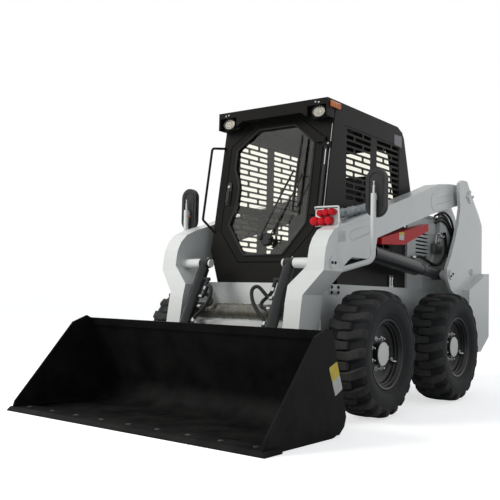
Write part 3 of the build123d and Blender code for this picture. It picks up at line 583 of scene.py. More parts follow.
# Painted highlight: a silver bead where light catches the front corner of the cab.
rod("corner_edge_highlight", [on_door(0.455, z) for z in (1.25, 1.4, 1.6, 1.8, 1.95)], 0.0025, silver, "chassis")
print("strut length:", round((high - low).length, 3))

# %% [markdown]
# The work lamps are oval, with a cream honeycomb lens in a thin bezel, and the amber lamps on the roof
# corners are ribbed. An oval lamp starts as a turned dome and is then squeezed in height, which keeps its
# edge even.

# %% Lamps
lens_cream_groove_shade, tree, shader = new_material("lens_cream_groove_shade", Roughness=0.18, Coat_Weight=0.6)
place = add_node(tree, "ShaderNodeTexCoord")
# The lens is cream, with painted shade: its colour turns dark along the grooves between the honeycomb cells.
cells = add_node(tree, "ShaderNodeTexVoronoi", feature="DISTANCE_TO_EDGE", Scale=85.0, Randomness=0.25)
edge = ramp(tree, From_Max=0.16)
cream_and_groove_shade = add_node(tree, "ShaderNodeMixRGB", Color1=(0.26, 0.24, 0.19, 1), Color2=(0.8, 0.77, 0.66, 1))
dome = add_node(tree, "ShaderNodeBump", Strength=0.6, Distance=0.003)
join(tree, (place, "Object", cells, "Vector"), (cells, 0, edge, "Value"), (edge, 0, cream_and_groove_shade, 0),
     (cream_and_groove_shade, 0, shader, "Base Color"), (edge, 0, dome, "Height"), (dome, 0, shader, "Normal"))
lens = [(0.0505, -0.01), (0.05, -0.003), (0.043, 0.003), (0.026, 0.007), (0, 0.008)]
bezel = [(0.053, -0.014), (0.0545, 0.0), (0.054, 0.01), (0.0525, 0.012), (0.051, 0.01), (0.0505, 0.004),
         (0.05, -0.004)]
ring = [(0.05, 0.0045), (0.051, 0.0065), (0.052, 0.007), (0.0528, 0.006)]
for side_name, side in sides:
    for part, profile, material, slot in (("lens", lens, lens_cream_groove_shade, "lamp_lens"),
                                          ("bezel", bezel, black_plastic, "black_plastic"),
                                          ("ring", ring, silver, "lamp_lens")):
        shape = bmesh.new()
        turned(shape, profile, (0, 0, 0), (0, -1, 0), 48)
        bmesh.ops.scale(shape, vec=(1, 1, 0.74), verts=shape.verts)
        bmesh.ops.translate(shape, vec=(side * 0.385, -0.386, 2.028), verts=shape.verts)
        put_in(f"lamp_{part}_{side_name}", shape, material, "chassis", 60)
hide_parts("work_lamps")
shape = bmesh.new()
for _, side in sides:
    housing = across(0, side * 0.468, box((-0.389, 2.053), (-0.263, 2.096)))
    plate(shape, housing, (side * 0.014, 0, 0), 0.005, 3)
    for step in range(6):
        y = -0.379 + 0.0212 * step
        plate(shape, across(0, side * 0.481, box((y, 2.058), (y + 0.01, 2.091))), (side * 0.004, 0, 0))
put_in("amber_lens_pair", shape, amber, "chassis", 30, ("amber_lamps",))
print("work lamps and amber lamps: 2 each")

# %% [markdown]
# The auxiliary couplers stand on the left shoulder of the boom: six round dust caps of red rubber in a
# bracket, with a white guard bent from bar over them, and the hoses behind them still in their packing
# film.

# %% Couplers, guard and wrapped hoses
red_rubber = finish("red_rubber", (0.58, 0.008, 0.02), 0.48, specular=0.25, dust=0.05, grain=700.0, bump=0.1)
shape = bmesh.new()
for x, z, radius in ((0.478, 1.254, 0.029), (0.531, 1.252, 0.026), (0.582, 1.256, 0.026),
                     (0.52, 1.305, 0.023), (0.562, 1.309, 0.023), (0.606, 1.312, 0.022)):
    cup = [(radius * 0.8, 0.052), (radius * 0.9, 0.05), (radius, 0.046), (radius, 0.012),
           (radius * 0.9, 0.004), (radius * 0.55, -0.001), (0, -0.002)]
    turned(shape, [(r, -d) for r, d in cup], (x, -0.59, z), (0, -1, 0), 28)
    rib = [(radius, 0.02), (radius * 1.06, 0.022), (radius * 1.06, 0.028), (radius, 0.03)]
    turned(shape, [(r, -d) for r, d in rib], (x, -0.59, z), (0, -1, 0), 28)
put_in("coupler_caps", shape, red_rubber, "boom", 40, ("coupler_bracket",))
shape = bmesh.new()
plate(shape, across(1, -0.536, box((0.462, 1.222), (0.632, 1.338))), (0, 0.006, 0), 0.002)
foot = [(0.55, -0.545, 1.19), (0.55, -0.47, 1.198), (0.55, -0.47, 1.262), (0.55, -0.545, 1.262)]
plate(shape, foot, (0.07, 0, 0), 0.003)
put_in("coupler_plate", shape, white_paint, "boom")
guard = tight_bends([(0.462, -0.54, 1.338), (0.5, -0.6, 1.342), (0.672, -0.6, 1.34), (0.68, -0.6, 1.235),
                     (0.64, -0.545, 1.222)], 0.018)
rod("coupler_guard", guard, 0.006, white_paint, "boom")
grey_film = finish("grey_film", (0.3, 0.34, 0.37), 0.28, coat=0.3, tone=0.5, tone_scale=40.0, dust=0.05,
                   grain=60.0, bump=0.5)
shape = bmesh.new()
wrap = [(0.004, 0), (0.026, 0.004), (0.03, 0.02)]
wrap += [(0.03 + 0.005 * math.sin(step * 1.9), 0.02 + 0.018 * step) for step in range(1, 23)]
wrap += [(0.026, 0.436), (0.004, 0.442)]
turned(shape, wrap, (0.565, -0.53, 1.288), (0.12, 0.95, 0.22), 22)
for vert in shape.verts:
    wave = math.sin(vert.co.y * 95 + vert.co.x * 160) * math.sin(vert.co.z * 130 + vert.co.y * 37)
    vert.co += Vector((0.0035, 0, 0.005)) * wave
put_in("wrapped_hoses", shape, grey_film, "boom", 60)
for step, (x, z) in enumerate(((0.5, 1.285), (0.535, 1.262), (0.6, 1.296))):
    rod(f"coupler_hose_{step}", [(x, -0.535, z), (x, -0.48, z), (0.57 + 0.01 * step, -0.4, 1.298),
                                 (0.585, -0.3, 1.335)], 0.009, black_rubber, "boom")
print("coupler caps: 6")

# %% [markdown]
# The flanks carry what keeps the boom on the machine: pin bosses with their bolts, the valve block with its
# pipes, and the hoses that lead to the boom. They are made for one side and then for the other, with the
# sign of X as the only difference.

# %% Bosses and bolts on towers and arms
bolt_black = finish("bolt_black", (0.018, 0.018, 0.019), 0.4, metallic=0.6, dust=0.1, grain=1500.0)
tower_face = 0.725
collar = [(0.038, 0), (0.038, 0.01), (0.036, 0.0125), (0.02, 0.0125), (0.018, 0.009), (0, 0.009)]
for side_name, side in sides:
    outward = Vector((side, 0, 0))
    shape = bmesh.new()
    for y, z in ((1.452, 1.64), (1.525, 1.69), (1.59, 1.655), (1.528, 1.602)):
        bolt(shape, (side * tower_face, y, z), outward, 0.0105)
    put_in("tower_bolts_" + side_name, shape, silver, "chassis")
    shape = bmesh.new()
    turned(shape, collar, (side * 0.726, 1.107, 0.968), outward, 36)
    turned(shape, [(0.046, 0), (0.046, 0.005), (0.044, 0.007), (0.034, 0.007)],
           (side * tower_face, 1.5, 1.643),
           outward, 36)
    turned(shape, [(0.022, 0), (0.022, 0.006), (0.02, 0.008), (0, 0.008)],
           (side * 0.735, 1.573, 1.006), outward, 28)
    put_in("tower_collars_" + side_name, shape, white_paint, "chassis")
    shape = bmesh.new()
    for y, z in ((1.128, 0.978), (1.086, 0.958)):
        bolt(shape, (side * 0.738, y, z), outward, 0.0075)
    for y in (-0.373, -0.287):
        for z in (0.797, 0.833):
            bolt(shape, (side * 0.498, y, z), outward, 0.0095)
    put_in("chassis_bolts_" + side_name, shape, bolt_black, "chassis")
    shape = bmesh.new()
    plate(shape, across(0, side * 0.488, box((-0.395, 0.785), (-0.265, 0.845))), outward * 0.011, 0.004)
    put_in("chassis_cover_" + side_name, shape, white_paint, "chassis")
    shape = bmesh.new()
    for y in (-0.681, -0.643):
        bolt(shape, (side * 0.6785, y, 0.98), outward, 0.008)
    put_in("arm_pin_bolts_" + side_name, shape, bolt_black, "boom")
print("bosses on both sides")

# %% [markdown]
# A valve block sits on the engine panel beside the tower. Short steel pipes leave it, and a thick hose
# swings from the tower down to the lift cylinder. Hoses are curves with a round section, so their bends
# stay smooth; the fittings are turned, like the real ones.

# %% Valve block, pipes and boom hoses
block_metal = finish("block_metal", (0.2, 0.2, 0.19), 0.42, metallic=0.7, tone=0.4, tone_scale=30.0, dust=0.2)
block_side = [(1.245, 1.152), (1.385, 1.152), (1.395, 1.165), (1.395, 1.222), (1.375, 1.236), (1.245, 1.236)]
port = [(0.01, -0.002), (0.01, 0.007), (0.0075, 0.01), (0.0075, 0.016), (0, 0.016)]
lift_route = [(1.49, 1.345), (1.505, 1.29), (1.525, 1.225), (1.5, 1.14), (1.4, 1.072), (1.27, 1.052),
              (1.15, 1.078), (1.01, 1.112), (0.92, 1.11), (0.855, 1.098)]
boom_route = [(1.3, 1.47), (1.39, 1.5), (1.48, 1.5), (1.59, 1.46), (1.655, 1.37), (1.64, 1.27), (1.56, 1.2)]
for side_name, side in sides:
    x = side * 0.52
    shape = bmesh.new()
    plate(shape, across(0, side * 0.503, block_side), (side * 0.034, 0, 0), 0.004)
    for y in (1.268, 1.306, 1.344, 1.378):
        turned(shape, port, (x, y, 1.236), (0, 0, 1), 16)
        turned(shape, [(0.009, 0), (0.009, 0.004), (0.006, 0.006), (0, 0.006)], (side * 0.537, y, 1.18),
               (side, 0, 0), 12)
    put_in("valve_block_" + side_name, shape, block_metal, "chassis")
    rod("lift_hose_" + side_name, across(0, x, lift_route), 0.0125, black_rubber, "chassis")
    for step, (y, sag) in enumerate(((1.3, 0.05), (1.344, 0.03))):
        pipe = [(y, 1.232), (y, 1.252 + sag), (y + 0.04, 1.282 + sag), (y + 0.1, 1.262 + sag),
                (y + 0.135, 1.312)]
        rod(f"steel_pipe_{side_name}_{step}", across(0, x, pipe), 0.006, silver, "chassis")
    for step, (dx, dz) in enumerate(((0.508, 0.0), (0.522, -0.03), (0.534, 0.012), (0.515, -0.06))):
        rod(f"boom_hose_{side_name}_{step}", [(side * dx, y, z + dz) for y, z in boom_route], 0.0095,
            black_rubber, "chassis")
    shape = bmesh.new()
    end, heading = (x, *lift_route[-1]), (0, -1, -0.1)
    turned(shape,
           [(0.016, -0.014), (0.016, 0.01), (0.013, 0.013), (0.013, 0.026), (0, 0.026)], end, heading, 6)
    turned(shape, [(0.0145, -0.03), (0.0155, -0.025), (0.0155, 0.0), (0.013, 0.004)], end, heading, 20)
    nipple = [(0.01, 0), (0.01, 0.014), (0.0065, 0.018), (0.0065, 0.06), (0.009, 0.062), (0.009, 0.084),
              (0.004, 0.092), (0, 0.092)]
    for y in (0.53, 0.566):
        turned(shape, nipple, (side * 0.4785, y, 0.852), (0, 0, 1), 14)
    put_in("hose_fittings_" + side_name, shape, silver, "chassis")
print("boom hoses: 4 a side")

# %% [markdown]
# Stickers on the real machine say whose it is and what to watch for. Here they are plain: a sticker is a
# thin plate with rounded corners and two calm fields of colour, worn a little at its edges.

# %% Plain stickers and reflectors
sticker_white = finish("sticker_white", (0.62, 0.62, 0.6), 0.45, tone=0.25, tone_scale=25.0, dust=0.15)
sticker_yellow = finish("sticker_yellow", (0.72, 0.55, 0.04), 0.45, tone=0.25, tone_scale=25.0, dust=0.15)
sticker_grey = finish("sticker_grey", (0.2, 0.21, 0.23), 0.4, tone=0.35, tone_scale=30.0, dust=0.1)
reflector_red = finish("reflector_red", (0.4, 0.02, 0.015), 0.22, coat=0.6, dust=0.15, grain=160.0, bump=0.4)


def sticker(name, side, x, pairs, material, body, thick=0.0014):
    """A thin plate with cut corners on a flank of the machine, from pairs of Y and Z."""
    corners = [Vector(corner) for corner in across(0, side * x, pairs)]
    points = []
    for here, corner in enumerate(corners):
        for other in (corners[here - 1], corners[(here + 1) % 4]):
            points.append(corner + (other - corner).normalized() * 0.005)
    shape = bmesh.new()
    plate(shape, points, (side * thick, 0, 0), 0.0003, 1)
    put_in(name, shape, material, body, 30)


sticker("cab_sticker", 1, 0.4678, [(0.6, 1.962), (0.733, 1.958), (0.731, 2.048), (0.6, 2.043)], sticker_grey,
        "chassis", 0.0012)
sticker("lock_sticker_low", 1, 0.6455, [(0.33, 1.196), (0.412, 1.198), (0.414, 1.234), (0.33, 1.232)],
        sticker_white, "boom")
sticker("lock_sticker_high", 1, 0.6455, [(0.33, 1.232), (0.414, 1.234), (0.42, 1.256), (0.33, 1.253)],
        sticker_yellow, "boom")
sticker("arm_sticker", 1, 0.6698, [(-0.6, 1.112), (-0.5, 1.124), (-0.5, 1.192), (-0.6, 1.182)], sticker_white,
        "boom", 0.0009)
for side_name, side in sides:
    sticker("bucket_sticker_high_" + side_name, side, 0.9655,
            [(-1.188, 0.384), (-1.104, 0.414), (-1.072, 0.337), (-1.152, 0.305)], sticker_yellow, "bucket")
    sticker("bucket_sticker_low_" + side_name, side, 0.9655,
            [(-1.152, 0.305), (-1.072, 0.337), (-1.039, 0.26), (-1.116, 0.226)], sticker_white, "bucket")
print("stickers carry no words")

# %% [markdown]
# Ribs and edges that are pressed or welded into the arms read as fine lines of light and shade. A thin bead
# along each outline is enough, because light catches its upper side. A dark sheet behind the cooling slots
# is painted shade: it stands for the dark of the engine bay and stops the eye from looking straight through
# it.

# %% Beads on the arms, and dark sheets of painted shade behind the slots
rear_bead = [(1.375, 1.722), (1.2, 1.7), (1.044, 1.666), (0.93, 1.635), (0.86, 1.59), (0.838, 1.53),
             (0.862, 1.478), (0.93, 1.462), (1.15, 1.505), (1.381, 1.562)]
front_bead = [(-0.17, 1.258), (-0.3, 1.229), (-0.4, 1.207), (-0.445, 1.18), (-0.445, 1.145), (-0.4, 1.134),
              (-0.3, 1.166), (-0.17, 1.204)]
edge_bead = [(-0.745, 0.96), (-0.742, 1.05), (-0.715, 1.115), (-0.655, 1.165), (-0.545, 1.212),
             (-0.36, 1.262), (-0.173, 1.3)]
# Dark sheets of painted shade that stand behind the cooling slots of the engine bay.
shade_sheets = bmesh.new()
for side_name, side in sides:
    for name, x, route, radius, order in (("rear_bead_" + side_name, 0.6702, rear_bead, 0.0032, 3),
                                          ("front_bead_" + side_name, 0.6702, front_bead, 0.003, 3),
                                          ("edge_bead_" + side_name, 0.6695, edge_bead, 0.0025, 3),
                                          (f"pressed_line_{side_name}_0", 0.6702,
                                           [(0.96, 1.576), (1.262, 1.64)], 0.0028, 2),
                                          (f"pressed_line_{side_name}_1", 0.6702,
                                           [(0.962, 1.52), (1.27, 1.59)], 0.0028, 2)):
        rod(name, across(0, side * x, route), radius, white_paint, "boom", order=order)
    plate(shade_sheets, across(0, side * 0.448, box((0.96, 1.085), (1.225, 1.425))), (side * -0.012, 0, 0), 0.003)
put_in("bay_shade_sheets", shade_sheets, black_rubber, "chassis")
print("beads and liners in place")

# %% [markdown]
# Between the legs of the boom, two tilt cylinders work the bucket, and each has two free hose loops. A hose
# has a real length and springs out in a smooth curve between its fittings, so it is a spline through a few
# control points, given from the cylinder's top pin: inward, forward and along the barrel. Crimped ferrules
# cover its ends.

# %% Hose loops of the tilt cylinders
short_route = [(0.071, 0, 0.186), (0.071, 0, 0.218), (0.108, -0.016, 0.243), (0.147, -0.024, 0.271),
               (0.143, -0.022, 0.308), (0.097, -0.012, 0.327), (0.055, -0.012, 0.327)]
long_route = [(0.051, 0, 0.258), (0.085, 0, 0.258), (0.115, 0.034, 0.228), (0.15, 0.064, 0.2),
              (0.187, 0.066, 0.225), (0.184, 0.046, 0.277), (0.156, 0.026, 0.328), (0.112, 0.012, 0.376),
              (0.06, 0, 0.416), (0.06, 0, 0.45)]


pin_x, pin_y, pin_z = 0.355, -0.662, 0.98
lean_y, lean_z = 0.43852, 0.89871


def by_cylinder(side, inward, forward, along):
    """A point given from the top pin of a tilt cylinder, in its own directions."""
    return Vector((side * (pin_x - inward), pin_y - lean_y * along - lean_z * forward,
                   pin_z - lean_z * along + lean_y * forward))


crimp = [(0.0125, -0.002), (0.0142, 0.0), (0.0142, 0.006), (0.0134, 0.008), (0.0142, 0.01), (0.0142, 0.016),
         (0.0134, 0.018), (0.0142, 0.02), (0.0138, 0.024), (0.0122, 0.025)]
for side_name, side in sides:
    body = "tilt_barrel_" + side_name
    for name, route, length in (("short", short_route, 0.245), ("long", long_route, 0.450)):
        path = [by_cylinder(side, *point) for point in route]
        hose = rod(f"tilt_loop_{name}_{side_name}", path, 0.012, black_rubber, body,
                   resolution=4)
        shape = bmesh.new()
        for end, inner in ((path[0], path[1]), (path[-1], path[-2])):
            turned(shape, crimp, end, inner - end, 20)
        ferrules = put_in(f"ferrules_{name}_{side_name}", shape, silver, body)
        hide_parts(f"tilt_hose_{name}_{side_name}")
print("hose loops: 4")

# %% [markdown]
# The cylinders get what a hydraulics shop fits: rings where the gland and the ports are welded on, and a
# grease nipple at each top pin. They are turned along each cylinder's own line.

# %% Glands, weld rings and nipples
for side_name, side in sides:
    body = "tilt_barrel_" + side_name
    top = by_cylinder(side, 0, 0, 0)
    down = by_cylinder(side, 0, 0, 1) - top
    shape = bmesh.new()
    for along in (0.095, 0.468):
        turned(shape, [(0.0355, -0.004), (0.0405, -0.001), (0.0405, 0.006), (0.0355, 0.009)],
               top + down.normalized() * along, down, 32)
    put_in("tilt_rings_" + side_name, shape, cylinder_black, body)
    shape = bmesh.new()
    turned(shape, [(0.006, 0), (0.006, 0.005), (0.0035, 0.007), (0.0035, 0.013), (0.005, 0.015), (0, 0.018)],
           top + Vector((0, 0.02, 0.03)), (0, 0.5, 0.86), 12)
    put_in("tilt_nipple_" + side_name, shape, silver, body)
    base, eye = Vector((side * 0.61, 1.107, 0.968)), Vector((side * 0.61, -0.14, 1.088))
    line = (eye - base).normalized()
    shape = bmesh.new()
    for along in (0.3, 1.12):
        turned(shape, [(0.036, -0.006), (0.0405, -0.003), (0.0405, 0.01), (0.036, 0.013)],
               base + line * along, line, 36)
    put_in("lift_rings_" + side_name, shape, cylinder_black, "lift_barrel_" + side_name)
print("rings follow", [round(value, 3) for value in line])

# %% [markdown]
# The cross tube of the boom is still wrapped in clear packing film gone yellowish, and the plate under it
# has a small red reflector with a bolt at each end. The film is a turned sleeve with shallow irregular
# waves.

# %% Film on the cross tube and reflectors
old_film = finish("old_film", (0.15, 0.145, 0.115), 0.25, tone=0.6, tone_scale=30.0, dust=0.1, grain=45.0,
                  bump=0.5, specular=0.6)
shape = bmesh.new()
steps = 60
sleeve = [(0.049, -0.405)]
sleeve += [(0.0515 + 0.0018 * math.sin(step * 2.3) + 0.0012 * math.sin(step * 5.1), -0.4 + 0.8 * step / steps)
           for step in range(steps + 1)]
sleeve += [(0.049, 0.405)]
tube_centre = Vector((0, -0.7, 0.655))
turned(shape, sleeve, tube_centre, (1, 0, 0), 40)
for vert in shape.verts:
    if abs(vert.co.x) < 0.399:
        wave = math.sin(vert.co.x * 70 + vert.co.z * 90) * math.sin(vert.co.y * 120 - vert.co.x * 33)
        away = Vector((0, vert.co.y - tube_centre.y, vert.co.z - tube_centre.z)).normalized()
        vert.co += away * 0.0012 * wave
put_in("tube_film", shape, old_film, "boom", 60)
shape = bmesh.new()
for low, high in ((0.072, 0.162), (-0.162, -0.072)):
    plate(shape, across(1, -0.7515, box((low, 0.539), (high, 0.561))), (0, -0.005, 0), 0.002)
put_in("beam_reflectors", shape, reflector_red, "boom")
shape = bmesh.new()
for x in (-0.385, -0.3, 0.3, 0.385):
    bolt(shape, (x, -0.752, 0.52), (0, -1, 0), 0.01)
put_in("beam_bolts", shape, silver, "boom")
print("film waves:", steps)

# %% [markdown]
# The seat shows through the door and the side slots. A vinyl cushion is a closed cover blown up by its
# foam, so each pad is remeshed evenly and inflated with Cloth for a few frames, from a slightly smaller
# shape. Its sewn channels are pressed in afterwards, because remeshing would erase them.


# %% Seat pads
def settle(piece):
    """Keep the shape that the modifiers give, and remove them."""
    view = bpy.context.evaluated_depsgraph_get()
    shaped = bpy.data.meshes.new_from_object(piece.evaluated_get(view))
    old = piece.data
    piece.modifiers.clear()
    piece.data = shaped
    bpy.data.meshes.remove(old)


def pad(name, low, high, lean, channels, swell=0.012):
    """A padded cushion between two corners, leaning back, with sewn channels across its front face."""
    low, high = Vector(low), Vector(high)
    middle, size = (low + high) / 2, high - low
    shape = bmesh.new()
    bmesh.ops.create_cube(shape, size=1.0)
    bmesh.ops.scale(shape, vec=size, verts=shape.verts)
    bmesh.ops.bevel(shape, geom=list(shape.edges), offset=0.028, segments=4, affect="EDGES", profile=0.5)
    piece = put_in(name, shape, seat_vinyl, "chassis", 80)
    even = piece.modifiers.new("even", "REMESH")
    even.mode = "VOXEL"
    even.voxel_size = 0.0075
    settle(piece)
    blow = piece.modifiers.new("blow", "CLOTH")
    blow.settings.use_pressure = True
    blow.settings.uniform_pressure_force = 4.0
    blow.settings.effector_weights.gravity = 0.0
    blow.point_cache.frame_end = 20
    for step in range(1, 21):
        bpy.context.scene.frame_set(step)
    settle(piece)
    bpy.context.scene.frame_set(1)
    blown = piece.data
    half = size / 2
    outward = [vert.normal.copy() for vert in blown.vertices]
    for vert, normal in zip(blown.vertices, outward):
        for axis in range(3):
            reach = half[axis] + swell
            vert.co[axis] = max(-reach, min(reach, vert.co[axis]))
        for axis, position in channels:
            away = (vert.co[axis] - position) / 0.007
            vert.co -= normal * 0.006 * math.exp(-away * away)
    softer = piece.modifiers.new("softer", "SUBSURF")
    softer.levels = softer.render_levels = 1
    for face in blown.polygons:
        face.use_smooth = True
    blown.transform(Matrix.Translation(middle) @ Matrix.Rotation(math.radians(lean), 4, "X"))
    return piece


cushion = pad("seat_cushion", (-0.222, 0.17, 1.152), (0.222, 0.585, 1.245), -3,
              [(0, -0.14), (0, 0.14), (1, -0.04), (1, 0.09)])
backrest = pad("seat_backrest", (-0.215, 0.555, 1.262), (0.215, 0.635, 1.735), -2,
               [(0, -0.135), (0, 0.135), (2, -0.12), (2, 0.0), (2, 0.12)])
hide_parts("seat")
shape = bmesh.new()
side_view = [(0.185, 0.895), (0.635, 0.895), (0.64, 1.148), (0.165, 1.148), (0.165, 1.11), (0.2, 1.06)]
plate(shape, across(0, -0.215, side_view), (0.43, 0, 0), 0.01, 3)
for step in range(6):
    fold = box((-0.222, 0.175), (0.222, 0.63))
    plate(shape, across(2, 0.925 + 0.022 * step, fold), (0, 0, 0.011), 0.004)
shell = [(0.632, 1.25), (0.648, 1.25), (0.649, 1.735), (0.64, 1.742), (0.63, 1.735)]
plate(shape, across(0, -0.205, shell), (0.41, 0, 0), 0.004)
put_in("seat_box", shape, black_plastic, "chassis")
print("pad faces:", len(cushion.data.polygons), len(backrest.data.polygons))

# %% [markdown]
# A control stick stands on a console at each side of the seat: a moulded grip with a thumb button on a
# steel stem, in a folded rubber boot.

# %% Consoles, boots and sticks
profile = [(0.085, 0.895), (0.475, 0.895), (0.475, 1.17), (0.46, 1.178), (0.2, 1.178), (0.12, 1.12),
           (0.085, 1.05)]
stick = [(0.038, 0)]
for fold in range(5):
    stick += [(0.036 - 0.005 * fold, 0.006 + 0.013 * fold), (0.028 - 0.004 * fold, 0.012 + 0.013 * fold)]
stick += [(0.009, 0.075), (0.008, 0.1), (0.014, 0.104), (0.0165, 0.115), (0.015, 0.14), (0.017, 0.165),
          (0.0175, 0.19), (0.014, 0.203), (0.006, 0.207), (0, 0.208)]
shape = bmesh.new()
grips = bmesh.new()
for _, side in sides:
    x = side * 0.3
    plate(shape, across(0, x - 0.044, profile), (0.088, 0, 0), 0.01, 3)
    rest = [(x - 0.04, 0.22), (x + 0.04, 0.22), (x + 0.036, 0.47), (x - 0.036, 0.47)]
    plate(shape, across(2, 1.176, rest), (0, 0, 0.022), 0.009, 3)
    turned(grips, stick, (x, 0.13, 1.14), (0, 0, 1), 24)
    turned(grips, [(0.006, 0), (0.006, 0.006), (0.004, 0.008), (0, 0.008)],
           (x, 0.114, 1.335), (0, -1, 0.4), 12)
put_in("consoles", shape, black_plastic, "chassis", replaces=("control_levers",))
put_in("control_grips", grips, black_rubber, "chassis", 50)
print("sticks: 2")

# %% [markdown]
# The mirrors are moulded shells: the side that faces forward has a raised oval rib, the other holds the
# glass. A small amber reflector and a clamp bolt sit on each. The rib is a bar bent round the oval.


# %% Mirror ribs, glass and clamps
def oval(x, z, y, half_width, half_height, count=10):
    """Points round an upright oval with straight sides."""
    points = []
    for end in (1, -1):
        for angle in [math.pi * step / count for step in range(count + 1)]:
            points.append((x + end * half_width * math.cos(angle), y,
                           z + end * (half_height - half_width + half_width * math.sin(angle))))
    return points


mirror_glass = finish("mirror_glass", (0.6, 0.62, 0.63), 0.04, metallic=1.0, tone=0.02, dust=0.03,
                      grain=1500.0, bump=0.01)
for (side_name, side), z in zip(sides, (1.45, 1.418)):
    x = side * 0.8
    rod("mirror_rib_" + side_name, oval(x, z, -0.352, 0.048, 0.134), 0.0055,
        black_plastic, "boom", cyclic=True)
    rod("mirror_rim_" + side_name, oval(x, z, -0.333, 0.068, 0.156), 0.0062, black_rubber, "boom",
        cyclic=True)
    shape = bmesh.new()
    plate(shape, oval(x, z, -0.3145, 0.061, 0.149), (0, 0.003, 0), 0.001, 1)
    put_in("mirror_glass_" + side_name, shape, mirror_glass, "boom")
    shape = bmesh.new()
    turned(shape, [(0.011, 0), (0.011, 0.004), (0.008, 0.007), (0, 0.007)], (side * 0.79, -0.352, z - 0.055),
           (0, -1, 0), 20)
    put_in("mirror_dot_" + side_name, shape, amber, "boom")
    shape = bmesh.new()
    turned(shape,
           [(0.0085, 0), (0.0085, 0.01), (0.0045, 0.012), (0.0045, 0.03), (0.0075, 0.031), (0.0075, 0.037),
                   (0, 0.038)], (x, -0.378, z + 0.034), (0, 0, 1), 16)
    put_in("mirror_bolt_" + side_name, shape, silver, "boom")
print("mirrors at", x)

# %% [markdown]
# Nobody photographs the back of a loader, yet it is seen in use. Behind the slots of the rear door stand
# slanted vanes that hide the radiator. The door has a pull handle, the hood has ribs and bolts, and each
# tower box has a lamp.

# %% Rear door vanes, handle and tail lamps
tail_red = finish("tail_red", (0.45, 0.01, 0.01), 0.15, coat=0.5, dust=0.1, grain=200.0, bump=0.5)
shape = bmesh.new()
for row in range(10):
    low, high = 0.757 + 0.055 * row, 0.796 + 0.055 * row
    vane = [(-0.345, 1.797, low), (0.345, 1.797, low), (0.345, 1.778, high), (-0.345, 1.778, high)]
    plate(shape, vane, (0, -0.003, -0.001), 0.0008, 1)
put_in("rear_vanes", shape, black_plastic, "rear_door")
shape = bmesh.new()
plate(shape, across(1, 1.799, box((-0.425, 0.925), (-0.365, 1.075))), (0, 0.006, 0), 0.003)
plate(shape, across(1, 1.8045, box((-0.411, 0.945), (-0.379, 1.04))), (0, 0.008, 0), 0.004, 3)
put_in("rear_handle", shape, black_plastic, "rear_door")
shape = bmesh.new()
for _, side in sides:
    plate(shape, across(1, 1.813, box((side * 0.56, 1.18), (side * 0.65, 1.25))), (0, 0.009, 0), 0.004, 3)
put_in("tail_lamps", shape, tail_red, "chassis")
shape = bmesh.new()
for x in (-0.43, -0.215, 0.0, 0.215, 0.43):
    for y in (1.02, 1.735):
        bolt(shape, (x, y, 1.47), (0, 0, 1), 0.009)
put_in("hood_bolts", shape, silver, "engine_hood")
shape = bmesh.new()
for y in (1.08, 1.66):
    plate(shape, across(2, 1.4695, box((-0.44, y), (0.44, y + 0.03))), (0, 0, 0.007), 0.003)
put_in("hood_ribs", shape, white_paint, "engine_hood")
print("rear is dressed")

# %% [markdown]
# The bucket takes the wear. Domed bolts hold the cutting edge along its lip, and weld beads join the sides
# to the shell.

# %% Edge bolts and weld beads of the bucket
steel_worn = finish("steel_worn", (0.035, 0.035, 0.034), 0.45, metallic=0.3, tone=0.5, tone_scale=14.0,
                    dust=0.2, scuff=0.35, scuff_color=(0.16, 0.155, 0.15), specular=0.3)
shape = bmesh.new()
for step in range(9):
    turned(shape, [(0.017, -0.004), (0.017, 0.002), (0.012, 0.0045), (0, 0.005)],
           (-0.88 + 0.22 * step, -1.725, 0.026), (0, 0, 1), 16)
put_in("edge_bolts", shape, steel_worn, "bucket")
weld = [(-1.64, 0.03), (-1.4, 0.018), (-1.15, 0.018), (-1.02, 0.05), (-0.985, 0.13), (-1.01, 0.22),
        (-1.08, 0.38), (-1.145, 0.545)]
for side_name, side in sides:
    rod("bucket_weld_" + side_name, across(0, side * 0.9535, weld), 0.006, bucket_paint, "bucket")
print("bucket dressed")

# %% [markdown]
# The studio is a pale floor that runs out to a white surround. Camera rays see the surround at full white,
# while the light that it gives is softer. One large lamp high in front on the operator's right, and a
# weaker one on the other side, give the bright front faces and the greyer flank of the photograph.

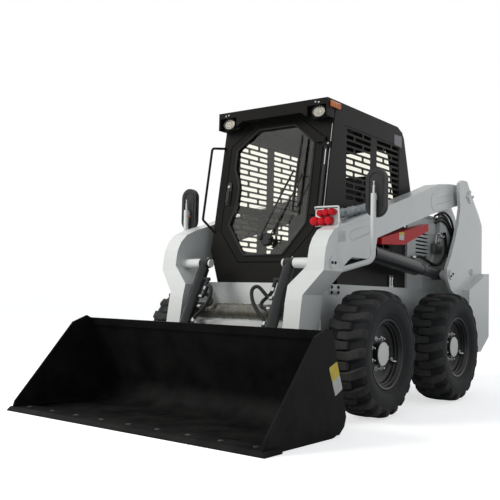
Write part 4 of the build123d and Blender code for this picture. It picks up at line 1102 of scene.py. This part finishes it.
# %% Floor, surround and lamps
floor_mesh = bpy.data.meshes.new("floor")
floor_mesh.from_pydata([(-40, -40, 0), (40, -40, 0), (40, 40, 0), (-40, 40, 0)], [], [(0, 1, 2, 3)])
floor = bpy.data.objects.new("floor", floor_mesh)
bpy.context.scene.collection.objects.link(floor)
floor_material, tree, shader = new_material("pale_floor", Base_Color=(0.82, 0.82, 0.82, 1), Roughness=0.9,
                                            Emission_Color=(1, 1, 1, 1))
path = add_node(tree, "ShaderNodeLightPath")
lift = add_node(tree, "ShaderNodeMath", operation="MULTIPLY")
lift.inputs[1].default_value = 0.62
join(tree, (path, "Is Camera Ray", lift, 0), (lift, 0, shader, "Emission Strength"))
floor_mesh.materials.append(floor_material)

world = bpy.data.worlds.new("surround")
bpy.context.scene.world = world
world.use_nodes = True
tree = world.node_tree
sky = tree.nodes["Background"]
sky.inputs["Color"].default_value = (0.92, 0.96, 1.0, 1)
sky.inputs["Strength"].default_value = 0.4
path = add_node(tree, "ShaderNodeLightPath")
seen = add_node(tree, "ShaderNodeBackground", Color=(1, 1, 1, 1))
either = add_node(tree, "ShaderNodeMath", operation="MAXIMUM")
both = add_node(tree, "ShaderNodeMath", operation="MAXIMUM")
mix = add_node(tree, "ShaderNodeMixShader")
join(tree, (path, "Is Camera Ray", either, 0), (path, "Is Transmission Ray", either, 1), (either, 0, both, 0),
     (path, "Is Glossy Ray", both, 1), (both, 0, mix, 0), (sky, 0, mix, 1), (seen, 0, mix, 2),
     (mix, 0, tree.nodes["World Output"], "Surface"))
def add_lamp(name, place, power, color):
    """A large soft area lamp that looks at the middle of the machine."""
    data = bpy.data.lights.new(name, "AREA")
    data.shape = "DISK"
    data.size = 5.0
    data.energy = power
    data.color = color
    lamp = bpy.data.objects.new(name, data)
    direction = Vector((0, 0, 1)) - Vector(place)
    lamp.rotation_euler = direction.to_track_quat("-Z", "Y").to_euler()
    lamp.location = place
    lamp.visible_glossy = False
    lamp.visible_transmission = False
    bpy.context.scene.collection.objects.link(lamp)


add_lamp("key_lamp", (-5.0, -7.0, 6.5), 700, (1.0, 0.98, 0.94))
add_lamp("fill_lamp", (7.5, -1.5, 4.0), 4, (0.94, 0.97, 1.0))
print("studio ready")
